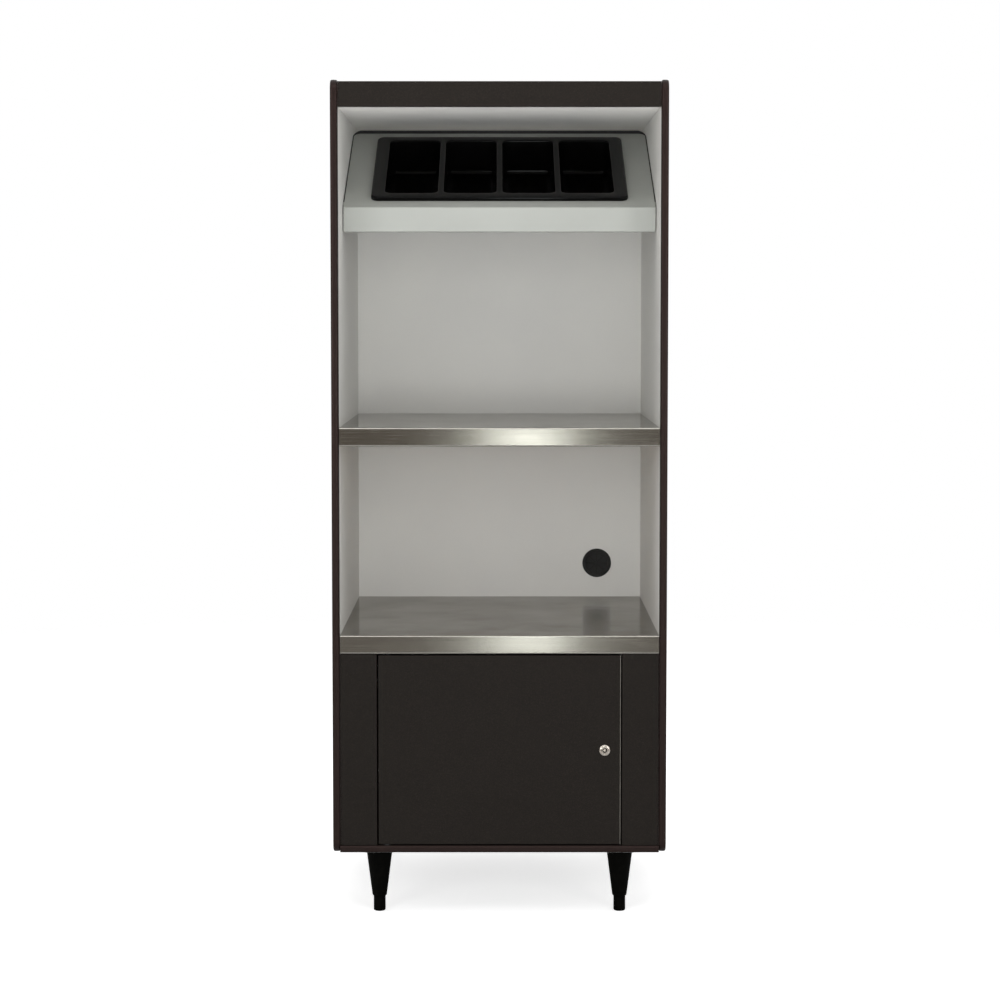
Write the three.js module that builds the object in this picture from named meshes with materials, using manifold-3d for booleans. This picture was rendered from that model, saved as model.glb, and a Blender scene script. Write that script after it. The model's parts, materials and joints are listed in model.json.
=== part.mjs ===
// A free-standing condiment station cabinet: a tall open carcass on four legs, with a sloped
// condiment deck at the top, two steel-faced shelves and a locked cupboard at the bottom.
// Millimetres, +Z up. The origin is on the floor under the middle of the cabinet, the front faces -Y.
import * as THREE from "three";
import { mergeVertices } from "three/addons/utils/BufferGeometryUtils.js";
import Module from "manifold-3d";

const wasm = await Module();
wasm.setup();

// Overall size
const WIDTH = 610;
const DEPTH = 610;
const HEIGHT = 1524;
const LEG_RISE = 116; // floor to the lowest edge of the carcass

// Clearances
const FIT = 0.3; // between a piece and the cut or socket that takes it
const RUNNING = 0.1; // radial, between a pin and its bush
const WELD = 1e-4; // vertices closer than this are one

// Boards and the T-shaped edge mould that is pressed into their front edges
const BOARD = 12.7;
const LINER = 1.2; // light laminate inside the side boards
const LINER_SETBACK = 1;
const MOULD_CROWN = 4; // how far the mould stands out of the edge
const MOULD_CORNER = 16; // the side board's corner radius, which the mould goes round
const TONGUE_THICK = 2;
const TONGUE_DEPTH = 8;
const BOTTOM_REVEAL = 1; // the side's mould hangs this far below the bottom board

// Top and back
const HEADER_HEIGHT = 45.5;
const CEILING = 6;
const BACK = 6;
const BACK_INSET = 2;
const BATTEN = 20; // width of every batten, from the side wall inwards
const BATTEN_END_GAP = 8;
const LEAD_HOLE_RADIUS = 25;
const LEAD_HOLE_SIDE = 90; // from the side wall to the middle of the hole
const LEAD_HOLE_HEIGHT = 70; // above the oven shelf
const GROMMET_LIP = 5;
const GROMMET_WALL = 2.5;
const GROMMET_FLANGE = 2;
const GROMMET_WEB = 1.5; // the rubber web across the hole, which parts round a lead

// The two steel-faced shelves
const COUNTER_TOP = 896.5;
const OVEN_SHELF_TOP = 517;
const SHELF_FRONT = 34;
const SHELF_CORE = 18;
const SKIN = 1;
const SKIN_BEND = 0.6; // inside radius of the sheet's bends
const SKIN_RETURN = 22;
const NOSING_DEPTH = 30;

// Condiment deck: a bent sheet, sloping up from its fascia to the back
const DECK_HEADROOM = 15; // ceiling to the deck's back edge
const DECK_RISE = 160.5;
const DECK_RUN = 342;
const FASCIA_SETBACK = 121; // from the cabinet's front
const FASCIA_HEIGHT = 45.5;
const DECK_SHEET = 1.5;
const DECK_BEND = 1.5; // inside radius
const DECK_RETURN = 16;
const DECK_SIDE_GAP = 2.2;
const DECK_CORNER = 15;
const BEARER_DROP = 18;
const SEAL_BACK_WIDTH = 3;
const SEAL_BACK_HEIGHT = 6; // above the deck
const SEAL_SIDE_HEIGHT = 1;

// Condiment tray: one moulding with four drafted bins and a turned-down rim
const BIN_COUNT = 4;
const BIN_WIDTH = 98;
const BIN_LENGTH = 266;
const BIN_DEPTH = 62; // below the deck
const BIN_DIVIDER = 12;
const BIN_CORNER = 12;
const BIN_DRAFT = THREE.MathUtils.degToRad(5);
const TRAY_WALL = 2.6;
const TRAY_RIM_HEIGHT = 8;
const TRAY_RIM_SIDE = 26; // from the outer bins to the rim's edge
const TRAY_RIM_ENDS = 23;
const TRAY_CORNER = 14;
const TRAY_FRONT = 30; // up the slope from the bend to the rim
const TRAY_PLAY = 2; // round the bins in the deck's cut-out

// Cupboard
const STILE_WIDTH = 66.5;
const DOOR_GAP = 2.8;
const DOOR_GAP_TOP = 2.6;
const DOOR_GAP_BOTTOM = 2;
const PIVOT_EDGE = 15; // from the door's hinge edge to the pins
const PIVOT_RADIUS = 3;
const PIVOT_REACH = 12; // of each pin into the door
const PIVOT_ROOT = 10; // of the upper pin into the shelf above the door
const PIVOT_FOOT = 4; // of the lower pin into the bottom board, above the mould's kerf
const BUSH_WALL = 2;
const BUSH_FLANGE = 2;
const STOP_LAP = 8; // of the stop strip behind the door
const STOP_WIDTH = 30;
const STOP_END_GAP = 5;

// Cam lock
const LOCK_EDGE = 29; // from the door's free edge to the lock
const LOCK_HEIGHT = 174; // above the door's lower edge
const LOCK_RADIUS = 8;
const LOCK_LENGTH = 24; // behind the door's face
const LOCK_FLANGE_RADIUS = 10.2;
const LOCK_FLANGE = 2.4;
const LOCK_CHAMFER = 1;
const PLUG_RADIUS = 6;
const PLUG_PROUD = 2;
const PLUG_TAIL_RADIUS = 3.5;
const KEYWAY_OUTER = 4.6;
const KEYWAY_INNER = 2.4;
const KEYWAY_DEPTH = 5;
const NUT_RADIUS = 13; // across corners, halved
const NUT_THICK = 4;
const CAM_THICK = 2;
const CAM_LENGTH = 40;
const CAM_HALF_WIDTH = 8;
const CAM_SCREW_RADIUS = 1.5;
const CAM_SCREW_LENGTH = 8;
const CAM_SCREW_HEAD_RADIUS = 5;
const CAM_SCREW_HEAD = 2.5;

// Legs
const LEG_INSET_SIDE = 83; // from the cabinet's side to the leg's axis
const LEG_INSET_FRONT = 43;
const LEG_TOP_RADIUS = 24;
const LEG_FOOT_RADIUS = 13.2;
const LEG_CHAMFER = 1.5;
const LEG_PLATE = 56;
const LEG_PLATE_THICK = 3;
const STUD_RADIUS = 4;
const STUD_LENGTH = 10;
const FOOT_HEIGHT = 28;
const FOOT_RADIUS = 11;
const FOOT_ROUND = 1.5;
const STEM_RADIUS = 5;
const STEM_LENGTH = 30;

// How finely round shapes are cut
const ROUND = 24;
const BEND_STEPS = 4;
const CORNER_STEPS = 5;
const CROWN_STEPS = 8;

// Places that follow from the sizes above
const half = WIDTH / 2;
const front = -DEPTH / 2;
const face = front + MOULD_CROWN; // front face of boards, door and steel fronts
const rear = DEPTH / 2;
const sideBottom = LEG_RISE + MOULD_CROWN;
const sideTop = HEIGHT - MOULD_CROWN;
const boardInner = half - BOARD;
const insideHalf = boardInner - LINER;
const fittedHalf = insideHalf - FIT;
const backFace = rear - BACK_INSET - BACK;
const bottomUnder = LEG_RISE + BOTTOM_REVEAL;
const bottomTop = bottomUnder + BOARD;
const topUnder = sideTop - BOARD;
const ceilingUnder = sideTop - HEADER_HEIGHT;
const ceilingTop = ceilingUnder + CEILING;
const boardBack = face + BOARD; // back face of header, stiles and door
const ovenShelfUnder = OVEN_SHELF_TOP - SHELF_FRONT;
const stileTop = ovenShelfUnder - FIT;
const doorHalf = fittedHalf - STILE_WIDTH - DOOR_GAP;
const doorBottom = bottomTop + DOOR_GAP_BOTTOM;
const doorTop = ovenShelfUnder - DOOR_GAP_TOP;
const pivotX = -doorHalf + PIVOT_EDGE;
const pivotY = face + BOARD / 2;
const bushRadius = PIVOT_RADIUS + RUNNING + BUSH_WALL;
const lockX = doorHalf - LOCK_EDGE;
const lockZ = doorBottom + LOCK_HEIGHT;
const leadHoleX = insideHalf - LEAD_HOLE_SIDE;
const leadHoleZ = OVEN_SHELF_TOP + LEAD_HOLE_HEIGHT;
const fasciaFace = front + FASCIA_SETBACK;
const deckBackZ = ceilingUnder - DECK_HEADROOM;
const deckFrontZ = deckBackZ - DECK_RISE;
const deckBackY = fasciaFace + DECK_RUN;
const deckHalf = insideHalf - DECK_SIDE_GAP;
const deckSlope = Math.atan2(DECK_RISE, DECK_RUN);
const deckLength = Math.hypot(DECK_RISE, DECK_RUN);
const binPitch = BIN_WIDTH + BIN_DIVIDER;
const binsWidth = BIN_COUNT * binPitch - BIN_DIVIDER;
const trayWidth = binsWidth + 2 * TRAY_RIM_SIDE;
const trayLength = BIN_LENGTH + 2 * TRAY_RIM_ENDS;
const trayMiddle = TRAY_FRONT + trayLength / 2; // up the slope
const legX = half - LEG_INSET_SIDE;
const legY = rear - LEG_INSET_FRONT;
const legTop = bottomUnder - LEG_PLATE_THICK - FIT;

const cabinet = new THREE.Group();
const deckFrame = new THREE.Group(); // +Y runs up the slope from the bend, +Z stands off the deck
deckFrame.position.set(0, fasciaFace, deckFrontZ);
deckFrame.rotation.x = deckSlope;
cabinet.add(deckFrame);

// Finishes
const finish = (color, roughness, metalness) => () =>
  new THREE.MeshStandardMaterial({ color, roughness, metalness, flatShading: true });
const charcoalLaminate = finish(0x2a2723, 0.55, 0);
const greyLaminate = finish(0xc4c3bf, 0.5, 0);
const brownVinyl = finish(0x2b2120, 0.4, 0);
const bareBoard = finish(0x8a6f52, 0.8, 0);
const steel = finish(0xb9b4aa, 0.3, 1);
const greyEnamel = finish(0xc9cac6, 0.45, 0);
const blackGloss = finish(0x0b0b0c, 0.15, 0);
const blackRubber = finish(0x121212, 0.7, 0);
const blackPlastic = finish(0x141414, 0.4, 0);
const chrome = finish(0xd8d8d8, 0.12, 1);
const zinc = finish(0x9a9a96, 0.4, 1);
const nylon = finish(0xd9d5c8, 0.5, 0);

function add(name, geometry, material, parent = cabinet) {
  const mesh = new THREE.Mesh(geometry, material());
  mesh.name = name;
  parent.add(mesh);
}

// Closed geometry to a solid and back, and the two boolean operations
function solidOf(geometry) {
  const bare = new THREE.BufferGeometry();
  bare.setAttribute("position", geometry.getAttribute("position"));
  bare.setIndex(geometry.getIndex());
  const merged = mergeVertices(bare, WELD);
  const vertProperties = merged.getAttribute("position").array;
  const triVerts = new Uint32Array(merged.getIndex().array);
  return new wasm.Manifold(new wasm.Mesh({ numProp: 3, vertProperties, triVerts }));
}

function geometryOf(solid) {
  const mesh = solid.getMesh();
  const geometry = new THREE.BufferGeometry();
  geometry.setAttribute("position", new THREE.BufferAttribute(mesh.vertProperties, 3));
  geometry.setIndex(new THREE.BufferAttribute(mesh.triVerts, 1));
  return geometry;
}

function cut(geometry, ...tools) {
  return geometryOf(tools.reduce((rest, tool) => rest.subtract(solidOf(tool)), solidOf(geometry)));
}

function join(geometry, ...pieces) {
  return geometryOf(pieces.reduce((whole, piece) => whole.add(solidOf(piece)), solidOf(geometry)));
}

// A box between two corners, whose faces lie exactly at the given coordinates
function block([x0, y0, z0], [x1, y1, z1]) {
  const geometry = new THREE.BoxGeometry(2, 2, 2);
  const position = geometry.getAttribute("position");
  for (let i = 0; i < position.count; i++) {
    position.setXYZ(
      i,
      position.getX(i) < 0 ? x0 : x1,
      position.getY(i) < 0 ? y0 : y1,
      position.getZ(i) < 0 ? z0 : z1,
    );
  }
  return geometry;
}

// A round piece about the Z axis through (x, y), from its [radius, height] profile
function turned(profile, x, y) {
  const points = profile.map(([radius, height]) => new THREE.Vector2(radius, height));
  return new THREE.LatheGeometry(points, ROUND).rotateX(Math.PI / 2).translate(x, y, 0);
}

// A round piece about an axis that points out of the front, from [radius, distance in front of y]
function turnedFromFront(profile, x, y, z) {
  const points = profile.map(([radius, out]) => new THREE.Vector2(radius, out));
  return new THREE.LatheGeometry(points, ROUND).rotateX(Math.PI).translate(x, y, z);
}

function drill(radius, x, y, z0, z1) {
  return turned([[0, z0], [radius, z0], [radius, z1], [0, z1]], x, y);
}

function drillFromFront(radius, x, y, z, inward, outward) {
  return turnedFromFront([[0, -inward], [radius, -inward], [radius, outward], [0, outward]], x, y, z);
}

// An outline in the Y-Z plane, drawn along X from x0 to x1
const outlineAcrossX = new THREE.Matrix4().makeBasis(
  new THREE.Vector3(0, 1, 0),
  new THREE.Vector3(0, 0, 1),
  new THREE.Vector3(1, 0, 0),
);

function drawnAlongX(points, x0, x1) {
  const outline = new THREE.Shape(points);
  const geometry = new THREE.ExtrudeGeometry(outline, { depth: x1 - x0, bevelEnabled: false });
  return geometry.applyMatrix4(outlineAcrossX).translate(x0, 0, 0);
}

// The outline of a sheet that is bent, always the same way, along its outer face's corner points
function bentSheet(corners, thickness, insideRadius) {
  const at = ([y, z]) => new THREE.Vector2(y, z);
  const points = corners.map(at);
  const headings = points.slice(1).map((point, i) => point.clone().sub(points[i]).normalize());
  const turn = Math.sign(headings[0].cross(headings[1]));
  const inward = (heading) => new THREE.Vector2(-heading.y, heading.x).multiplyScalar(turn);
  const radius = insideRadius + thickness;
  const last = points.length - 1;
  const outer = [points[0]];
  const inner = [points[0].clone().addScaledVector(inward(headings[0]), thickness)];
  for (let i = 1; i < last; i++) {
    const angle = Math.acos(headings[i - 1].dot(headings[i]));
    const start = points[i].clone().addScaledVector(headings[i - 1], -radius * Math.tan(angle / 2));
    const centre = start.clone().addScaledVector(inward(headings[i - 1]), radius);
    for (let step = 0; step <= BEND_STEPS; step++) {
      const spoke = inward(headings[i - 1]).negate();
      spoke.rotateAround(new THREE.Vector2(), (turn * angle * step) / BEND_STEPS);
      outer.push(centre.clone().addScaledVector(spoke, radius));
      inner.push(centre.clone().addScaledVector(spoke, insideRadius));
    }
  }
  outer.push(points[last]);
  inner.push(points[last].clone().addScaledVector(inward(headings[last - 1]), thickness));
  return [...outer, ...inner.reverse()];
}

// A rectangle with round corners, as points about its middle
function roundedRectangle(width, length, radius) {
  const points = [];
  const corners = [[1, 1], [-1, 1], [-1, -1], [1, -1]];
  corners.forEach(([sx, sy], quarter) => {
    for (let step = 0; step <= CORNER_STEPS; step++) {
      const angle = ((quarter + step / CORNER_STEPS) * Math.PI) / 2;
      const x = sx * (width / 2 - radius) + radius * Math.cos(angle);
      const y = sy * (length / 2 - radius) + radius * Math.sin(angle);
      points.push(new THREE.Vector2(x, y));
    }
  });
  return points;
}

// A closed skin over rings of equal length: sides between neighbouring rings, and a cap on each end
function skinned(rings, caps) {
  const count = rings[0].length;
  const index = [];
  for (let ring = 0; ring + 1 < rings.length; ring++) {
    for (let i = 0; i < count; i++) {
      const a = ring * count + i;
      const b = ring * count + ((i + 1) % count);
      index.push(a, b, b + count, a, b + count, a + count);
    }
  }
  const end = (rings.length - 1) * count;
  caps.forEach(([a, b, c]) => index.push(c, b, a, end + a, end + b, end + c));
  const geometry = new THREE.BufferGeometry().setFromPoints(rings.flat());
  return geometry.setIndex(index);
}

// A drafted bin about (x, y): a rounded rectangle that narrows from its top down to its floor
function draftedBin(x, y, width, length, radius, top, floor) {
  const shrink = (top - floor) * Math.tan(BIN_DRAFT);
  const ring = (inset, height) =>
    roundedRectangle(width - 2 * inset, length - 2 * inset, radius).map(
      (p) => new THREE.Vector3(p.x + x, p.y + y, height),
    );
  const caps = THREE.ShapeUtils.triangulateShape(roundedRectangle(width, length, radius), []);
  return skinned([ring(shrink, floor), ring(0, top)], caps);
}

// A plate with round corners in the deck's frame
function deckPlate(width, length, radius, y, z0, z1) {
  const outline = new THREE.Shape(roundedRectangle(width, length, radius));
  const plate = new THREE.ExtrudeGeometry(outline, { depth: z1 - z0, bevelEnabled: false });
  return plate.translate(0, y, z0);
}

// The side board's edge from its upper back corner round the front to its lower back corner
function edgeStations() {
  const station = (y, z, ny, nz) => ({ y, z, ny, nz });
  const stations = [station(rear, sideTop, 0, 1)];
  const corner = (centreZ, from) => {
    for (let step = 0; step <= CORNER_STEPS; step++) {
      const angle = from + ((step / CORNER_STEPS) * Math.PI) / 2;
      const ny = Math.cos(angle);
      const nz = Math.sin(angle);
      const y = face + MOULD_CORNER + MOULD_CORNER * ny;
      stations.push(station(y, centreZ + MOULD_CORNER * nz, ny, nz));
    }
  };
  corner(sideTop - MOULD_CORNER, Math.PI / 2);
  corner(sideBottom + MOULD_CORNER, Math.PI);
  stations.push(station(rear, sideBottom, 0, -1));
  return stations;
}

// A profile of [across, out] points carried round the side board's edge
function roundTheEdge(profile, middleX) {
  const points = profile.map(([across, out]) => new THREE.Vector2(across, out));
  const caps = THREE.ShapeUtils.triangulateShape(points, []);
  const rings = edgeStations().map(({ y, z, ny, nz }) =>
    points.map((p) => new THREE.Vector3(middleX + p.x, y + ny * p.y, z + nz * p.y)),
  );
  return skinned(rings, caps);
}

// The T mould: a tongue under a crown whose section is half an ellipse
function mouldProfile(width) {
  const points = [];
  for (let step = 0; step <= CROWN_STEPS; step++) {
    const angle = (step / CROWN_STEPS) * Math.PI;
    points.push([(width / 2) * Math.cos(angle), FIT + (MOULD_CROWN - FIT) * Math.sin(angle)]);
  }
  const tongue = TONGUE_THICK / 2;
  return [...points, [-tongue, FIT], [-tongue, -TONGUE_DEPTH], [tongue, -TONGUE_DEPTH], [tongue, FIT]];
}

// The kerf that the tongue is pressed into
function kerfProfile() {
  const reach = TONGUE_THICK / 2 + FIT;
  const depth = TONGUE_DEPTH + FIT;
  const past = MOULD_CROWN;
  return [[reach, past], [-reach, past], [-reach, -depth], [reach, -depth]];
}

function sidePanels() {
  for (const [side, sign] of [["left", -1], ["right", 1]]) {
    const middle = sign * (half - BOARD / 2);
    const outline = edgeStations().map(({ y, z }) => new THREE.Vector2(y, z));
    const board = drawnAlongX(outline, middle - BOARD / 2, middle + BOARD / 2);
    add(`${side}_side_panel`, cut(board, roundTheEdge(kerfProfile(), middle)), charcoalLaminate);
    add(`${side}_edge_mould`, roundTheEdge(mouldProfile(BOARD), middle), brownVinyl);
    const [x0, x1] = sign < 0 ? [-boardInner, -insideHalf] : [insideHalf, boardInner];
    const liner = block([x0, face + LINER_SETBACK, bottomTop], [x1, backFace, sideTop]);
    add(`${side}_liner`, liner, greyLaminate);
  }
}

// A pair of battens against the side walls
function battens(name, material, y0, y1, z0, z1, parent = cabinet) {
  const inner = fittedHalf - BATTEN;
  add(`${name}_left`, block([-fittedHalf, y0, z0], [-inner, y1, z1]), material, parent);
  add(`${name}_right`, block([inner, y0, z0], [fittedHalf, y1, z1]), material, parent);
}

function topAndBack() {
  const header = block([-fittedHalf, face, ceilingUnder], [fittedHalf, boardBack, sideTop]);
  add("header_rail", header, charcoalLaminate);
  const top = block([-fittedHalf, boardBack, topUnder], [fittedHalf, backFace, sideTop]);
  add("top_panel", top, charcoalLaminate);
  const ceiling = block([-fittedHalf, boardBack, ceilingUnder], [fittedHalf, backFace, ceilingTop]);
  add("ceiling_panel", ceiling, greyLaminate);
  const battenFront = boardBack + BATTEN_END_GAP;
  battens("ceiling_batten", bareBoard, battenFront, backFace - BATTEN_END_GAP, ceilingTop, topUnder);

  const back = block([-boardInner, backFace, bottomUnder], [boardInner, backFace + BACK, sideTop]);
  const hole = drillFromFront(LEAD_HOLE_RADIUS, leadHoleX, backFace, leadHoleZ, 2 * BACK, BACK);
  add("back_panel", cut(back, hole), greyLaminate);
  const outer = LEAD_HOLE_RADIUS - FIT;
  const bore = outer - GROMMET_WALL;
  const web = -BACK / 2;
  const grommet = [
    [0, web],
    [bore, web],
    [bore, -BACK],
    [outer, -BACK],
    [outer, FIT],
    [outer + GROMMET_LIP, FIT],
    [outer + GROMMET_LIP, FIT + GROMMET_FLANGE],
    [bore, FIT + GROMMET_FLANGE],
    [bore, web + GROMMET_WEB],
    [0, web + GROMMET_WEB],
  ];
  add("lead_grommet", turnedFromFront(grommet, leadHoleX, backFace, leadHoleZ), blackRubber);
}

const legPlaces = [
  ["front_left", -legX, -legY],
  ["front_right", legX, -legY],
  ["rear_left", -legX, legY],
  ["rear_right", legX, legY],
];

function bottom() {
  const board = block([-boardInner, face, bottomUnder], [boardInner, backFace, bottomTop]);
  const middle = (bottomUnder + bottomTop) / 2;
  const outward = ([across, out]) => new THREE.Vector2(face - out, middle + across);
  const kerf = drawnAlongX(kerfProfile().map(outward), -half, half);
  const socketDepth = STUD_LENGTH - LEG_PLATE_THICK;
  const sockets = legPlaces.map(([, x, y]) =>
    drill(STUD_RADIUS + FIT, x, y, bottomUnder - FIT, bottomUnder + socketDepth),
  );
  const pivot = drill(PIVOT_RADIUS + FIT, pivotX, pivotY, bottomTop - PIVOT_FOOT - FIT, bottomTop + FIT);
  add("bottom_panel", cut(board, kerf, pivot, ...sockets), charcoalLaminate);
  const mould = drawnAlongX(mouldProfile(BOARD).map(outward), -boardInner + FIT, boardInner - FIT);
  add("bottom_edge_mould", mould, brownVinyl);
}

// A board shelf dressed with a steel sheet that turns down over the front and back underneath
function steelFacedShelf(name, top, pivot) {
  const under = top - SHELF_FRONT;
  const corners = [
    [backFace - FIT, top],
    [face, top],
    [face, under],
    [face + SKIN_RETURN, under],
  ];
  const sheet = drawnAlongX(bentSheet(corners, SKIN, SKIN_BEND), -fittedHalf, fittedHalf);
  const inside = face + SKIN + FIT;
  const coreTop = top - SKIN - FIT;
  const coreUnder = coreTop - SHELF_CORE;
  const nosingUnder = under + SKIN + FIT;
  const nosingBack = inside + NOSING_DEPTH;
  const core = block([-fittedHalf, inside, coreUnder], [fittedHalf, backFace, coreTop]);
  const nosing = block([-fittedHalf, inside, nosingUnder], [fittedHalf, nosingBack, coreUnder]);
  add(`${name}_skin`, pivot ? cut(sheet, pivot) : sheet, steel);
  add(`${name}_core`, core, bareBoard);
  add(`${name}_nosing`, pivot ? cut(nosing, pivot) : nosing, bareBoard);
  const battenFront = nosingBack + BATTEN_END_GAP;
  battens(`${name}_batten`, bareBoard, battenFront, backFace - BATTEN_END_GAP, nosingUnder, coreUnder);
}

function shelves() {
  steelFacedShelf("counter", COUNTER_TOP);
  const pinTop = ovenShelfUnder + PIVOT_ROOT;
  const pivot = drill(PIVOT_RADIUS + FIT, pivotX, pivotY, ovenShelfUnder - FIT, pinTop + FIT);
  steelFacedShelf("oven_shelf", OVEN_SHELF_TOP, pivot);
}

function condimentDeck() {
  const corners = [
    [deckBackY, deckBackZ],
    [fasciaFace, deckFrontZ],
    [fasciaFace, deckFrontZ - FASCIA_HEIGHT],
    [fasciaFace + DECK_RETURN, deckFrontZ - FASCIA_HEIGHT],
  ];
  const sheet = drawnAlongX(bentSheet(corners, DECK_SHEET, DECK_BEND), -deckHalf, deckHalf);
  const ontoSlope = new THREE.Matrix4().makeRotationX(deckSlope).setPosition(0, fasciaFace, deckFrontZ);
  const opening = deckPlate(
    binsWidth + 2 * (TRAY_WALL + TRAY_PLAY),
    BIN_LENGTH + 2 * (TRAY_WALL + TRAY_PLAY),
    BIN_CORNER,
    trayMiddle,
    -2 * DECK_SHEET,
    DECK_SHEET,
  ).applyMatrix4(ontoSlope);
  const waste = [-1, 1].map((sign) => {
    const [x0, x1] = sign < 0 ? [-half, -deckHalf + DECK_CORNER] : [deckHalf - DECK_CORNER, half];
    const y0 = deckLength - DECK_CORNER;
    const corner = block([x0, y0, -2 * DECK_SHEET], [x1, y0 + half, DECK_SHEET]);
    const round = drill(DECK_CORNER, sign * (deckHalf - DECK_CORNER), y0, -3 * DECK_SHEET, 2 * DECK_SHEET);
    return cut(corner, round).applyMatrix4(ontoSlope);
  });
  add("condiment_deck", cut(sheet, opening, ...waste), greyEnamel);

  const under = -DECK_SHEET - FIT;
  const bearerEnds = [DECK_CORNER, deckLength - DECK_CORNER];
  battens("deck_bearer", greyEnamel, ...bearerEnds, under - BEARER_DROP, under, deckFrame);
  deckSeal();
}

// The black seal along the deck's back edge and down its two sides
function deckSeal() {
  const seat = deckHalf + FIT;
  const sealHalf = insideHalf - FIT;
  const cornerOut = DECK_CORNER + FIT;
  const sealLength = deckLength + FIT + SEAL_BACK_WIDTH;
  const ring = (z1) => {
    const outerLength = 2 * sealLength;
    const innerLength = 2 * (deckLength + FIT);
    const outerCorner = cornerOut + SEAL_BACK_WIDTH;
    const outer = deckPlate(2 * sealHalf, outerLength, outerCorner, 0, -DECK_SHEET, z1);
    const inner = deckPlate(2 * seat, innerLength, cornerOut, 0, -2 * DECK_SHEET, 2 * z1);
    return cut(outer, inner);
  };
  const foot = 2 * DECK_CORNER; // the side strips start above the bend
  const below = (y) => block([-half, -2 * deckLength, -half], [half, y, half]);
  const sides = cut(ring(SEAL_SIDE_HEIGHT), below(foot));
  const back = cut(ring(SEAL_BACK_HEIGHT), below(deckLength - DECK_CORNER));
  add("deck_edge_seal", join(sides, back), blackRubber, deckFrame);
}

function condimentTray() {
  const rimUnder = TRAY_RIM_HEIGHT - TRAY_WALL;
  const floor = -BIN_DEPTH;
  const rim = deckPlate(trayWidth, trayLength, TRAY_CORNER, trayMiddle, FIT, TRAY_RIM_HEIGHT);
  const hollow = deckPlate(
    trayWidth - 2 * TRAY_WALL,
    trayLength - 2 * TRAY_WALL,
    TRAY_CORNER - TRAY_WALL,
    trayMiddle,
    -FIT,
    rimUnder,
  );
  const outsides = [];
  const insides = [];
  for (let bin = 0; bin < BIN_COUNT; bin++) {
    const x = (bin - (BIN_COUNT - 1) / 2) * binPitch;
    const outerTop = TRAY_RIM_HEIGHT - TRAY_WALL / 2;
    const outerWidth = BIN_WIDTH + 2 * TRAY_WALL;
    const outerLength = BIN_LENGTH + 2 * TRAY_WALL;
    const innerFloor = floor + TRAY_WALL;
    const past = TRAY_RIM_HEIGHT + FIT;
    outsides.push(draftedBin(x, trayMiddle, outerWidth, outerLength, BIN_CORNER, outerTop, floor));
    insides.push(draftedBin(x, trayMiddle, BIN_WIDTH, BIN_LENGTH, BIN_CORNER, past, innerFloor));
  }
  const shell = join(cut(rim, hollow), ...outsides);
  add("condiment_tray", cut(shell, ...insides), blackGloss, deckFrame);
}

function stilesAndStop() {
  const doorSide = doorHalf + DOOR_GAP;
  const left = block([-fittedHalf, face, bottomTop], [-doorSide, boardBack, stileTop]);
  const right = block([doorSide, face, bottomTop], [fittedHalf, boardBack, stileTop]);
  add("left_stile", left, charcoalLaminate);
  add("right_stile", right, charcoalLaminate);
  battens("stile_batten", bareBoard, boardBack, boardBack + BATTEN, bottomTop, stileTop);
  const stopX = doorHalf - STOP_LAP;
  const stopY = boardBack + FIT;
  const stopBack = face + LOCK_LENGTH;
  const stop = block(
    [stopX, stopY, doorBottom + STOP_END_GAP],
    [stopX + STOP_WIDTH, stopBack, doorTop - STOP_END_GAP],
  );
  add("door_stop", stop, bareBoard);
}

function door() {
  const board = block([-doorHalf, face, doorBottom], [doorHalf, boardBack, doorTop]);
  const lockHole = drillFromFront(LOCK_RADIUS + FIT, lockX, face, lockZ, 2 * BOARD, BOARD);
  const bushHole = bushRadius + FIT;
  const bushDepth = PIVOT_REACH + BUSH_WALL;
  const lower = drill(bushHole, pivotX, pivotY, doorBottom - FIT, doorBottom + bushDepth + FIT);
  const upper = drill(bushHole, pivotX, pivotY, doorTop - bushDepth - FIT, doorTop + FIT);
  add("door", cut(board, lockHole, lower, upper), charcoalLaminate);

  const bore = PIVOT_RADIUS + RUNNING;
  const thrust = bottomTop + RUNNING;
  const lowerBush = [
    [bore, thrust],
    [bushRadius + BUSH_FLANGE, thrust],
    [bushRadius + BUSH_FLANGE, doorBottom - RUNNING],
    [bushRadius, doorBottom - RUNNING],
    [bushRadius, doorBottom + bushDepth],
    [bore, doorBottom + bushDepth],
    [bore, thrust],
  ];
  const upperBush = [
    [bore, doorTop - bushDepth],
    [bushRadius, doorTop - bushDepth],
    [bushRadius, doorTop],
    [bore, doorTop],
    [bore, doorTop - bushDepth],
  ];
  add("lower_pivot_bush", turned(lowerBush, pivotX, pivotY), nylon);
  add("upper_pivot_bush", turned(upperBush, pivotX, pivotY), nylon);
  const lowerPin = drill(PIVOT_RADIUS, pivotX, pivotY, bottomTop - PIVOT_FOOT, doorBottom + PIVOT_REACH);
  const upperPin = drill(PIVOT_RADIUS, pivotX, pivotY, doorTop - PIVOT_REACH, ovenShelfUnder + PIVOT_ROOT);
  add("lower_pivot_pin", lowerPin, zinc);
  add("upper_pivot_pin", upperPin, zinc);
}

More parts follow.
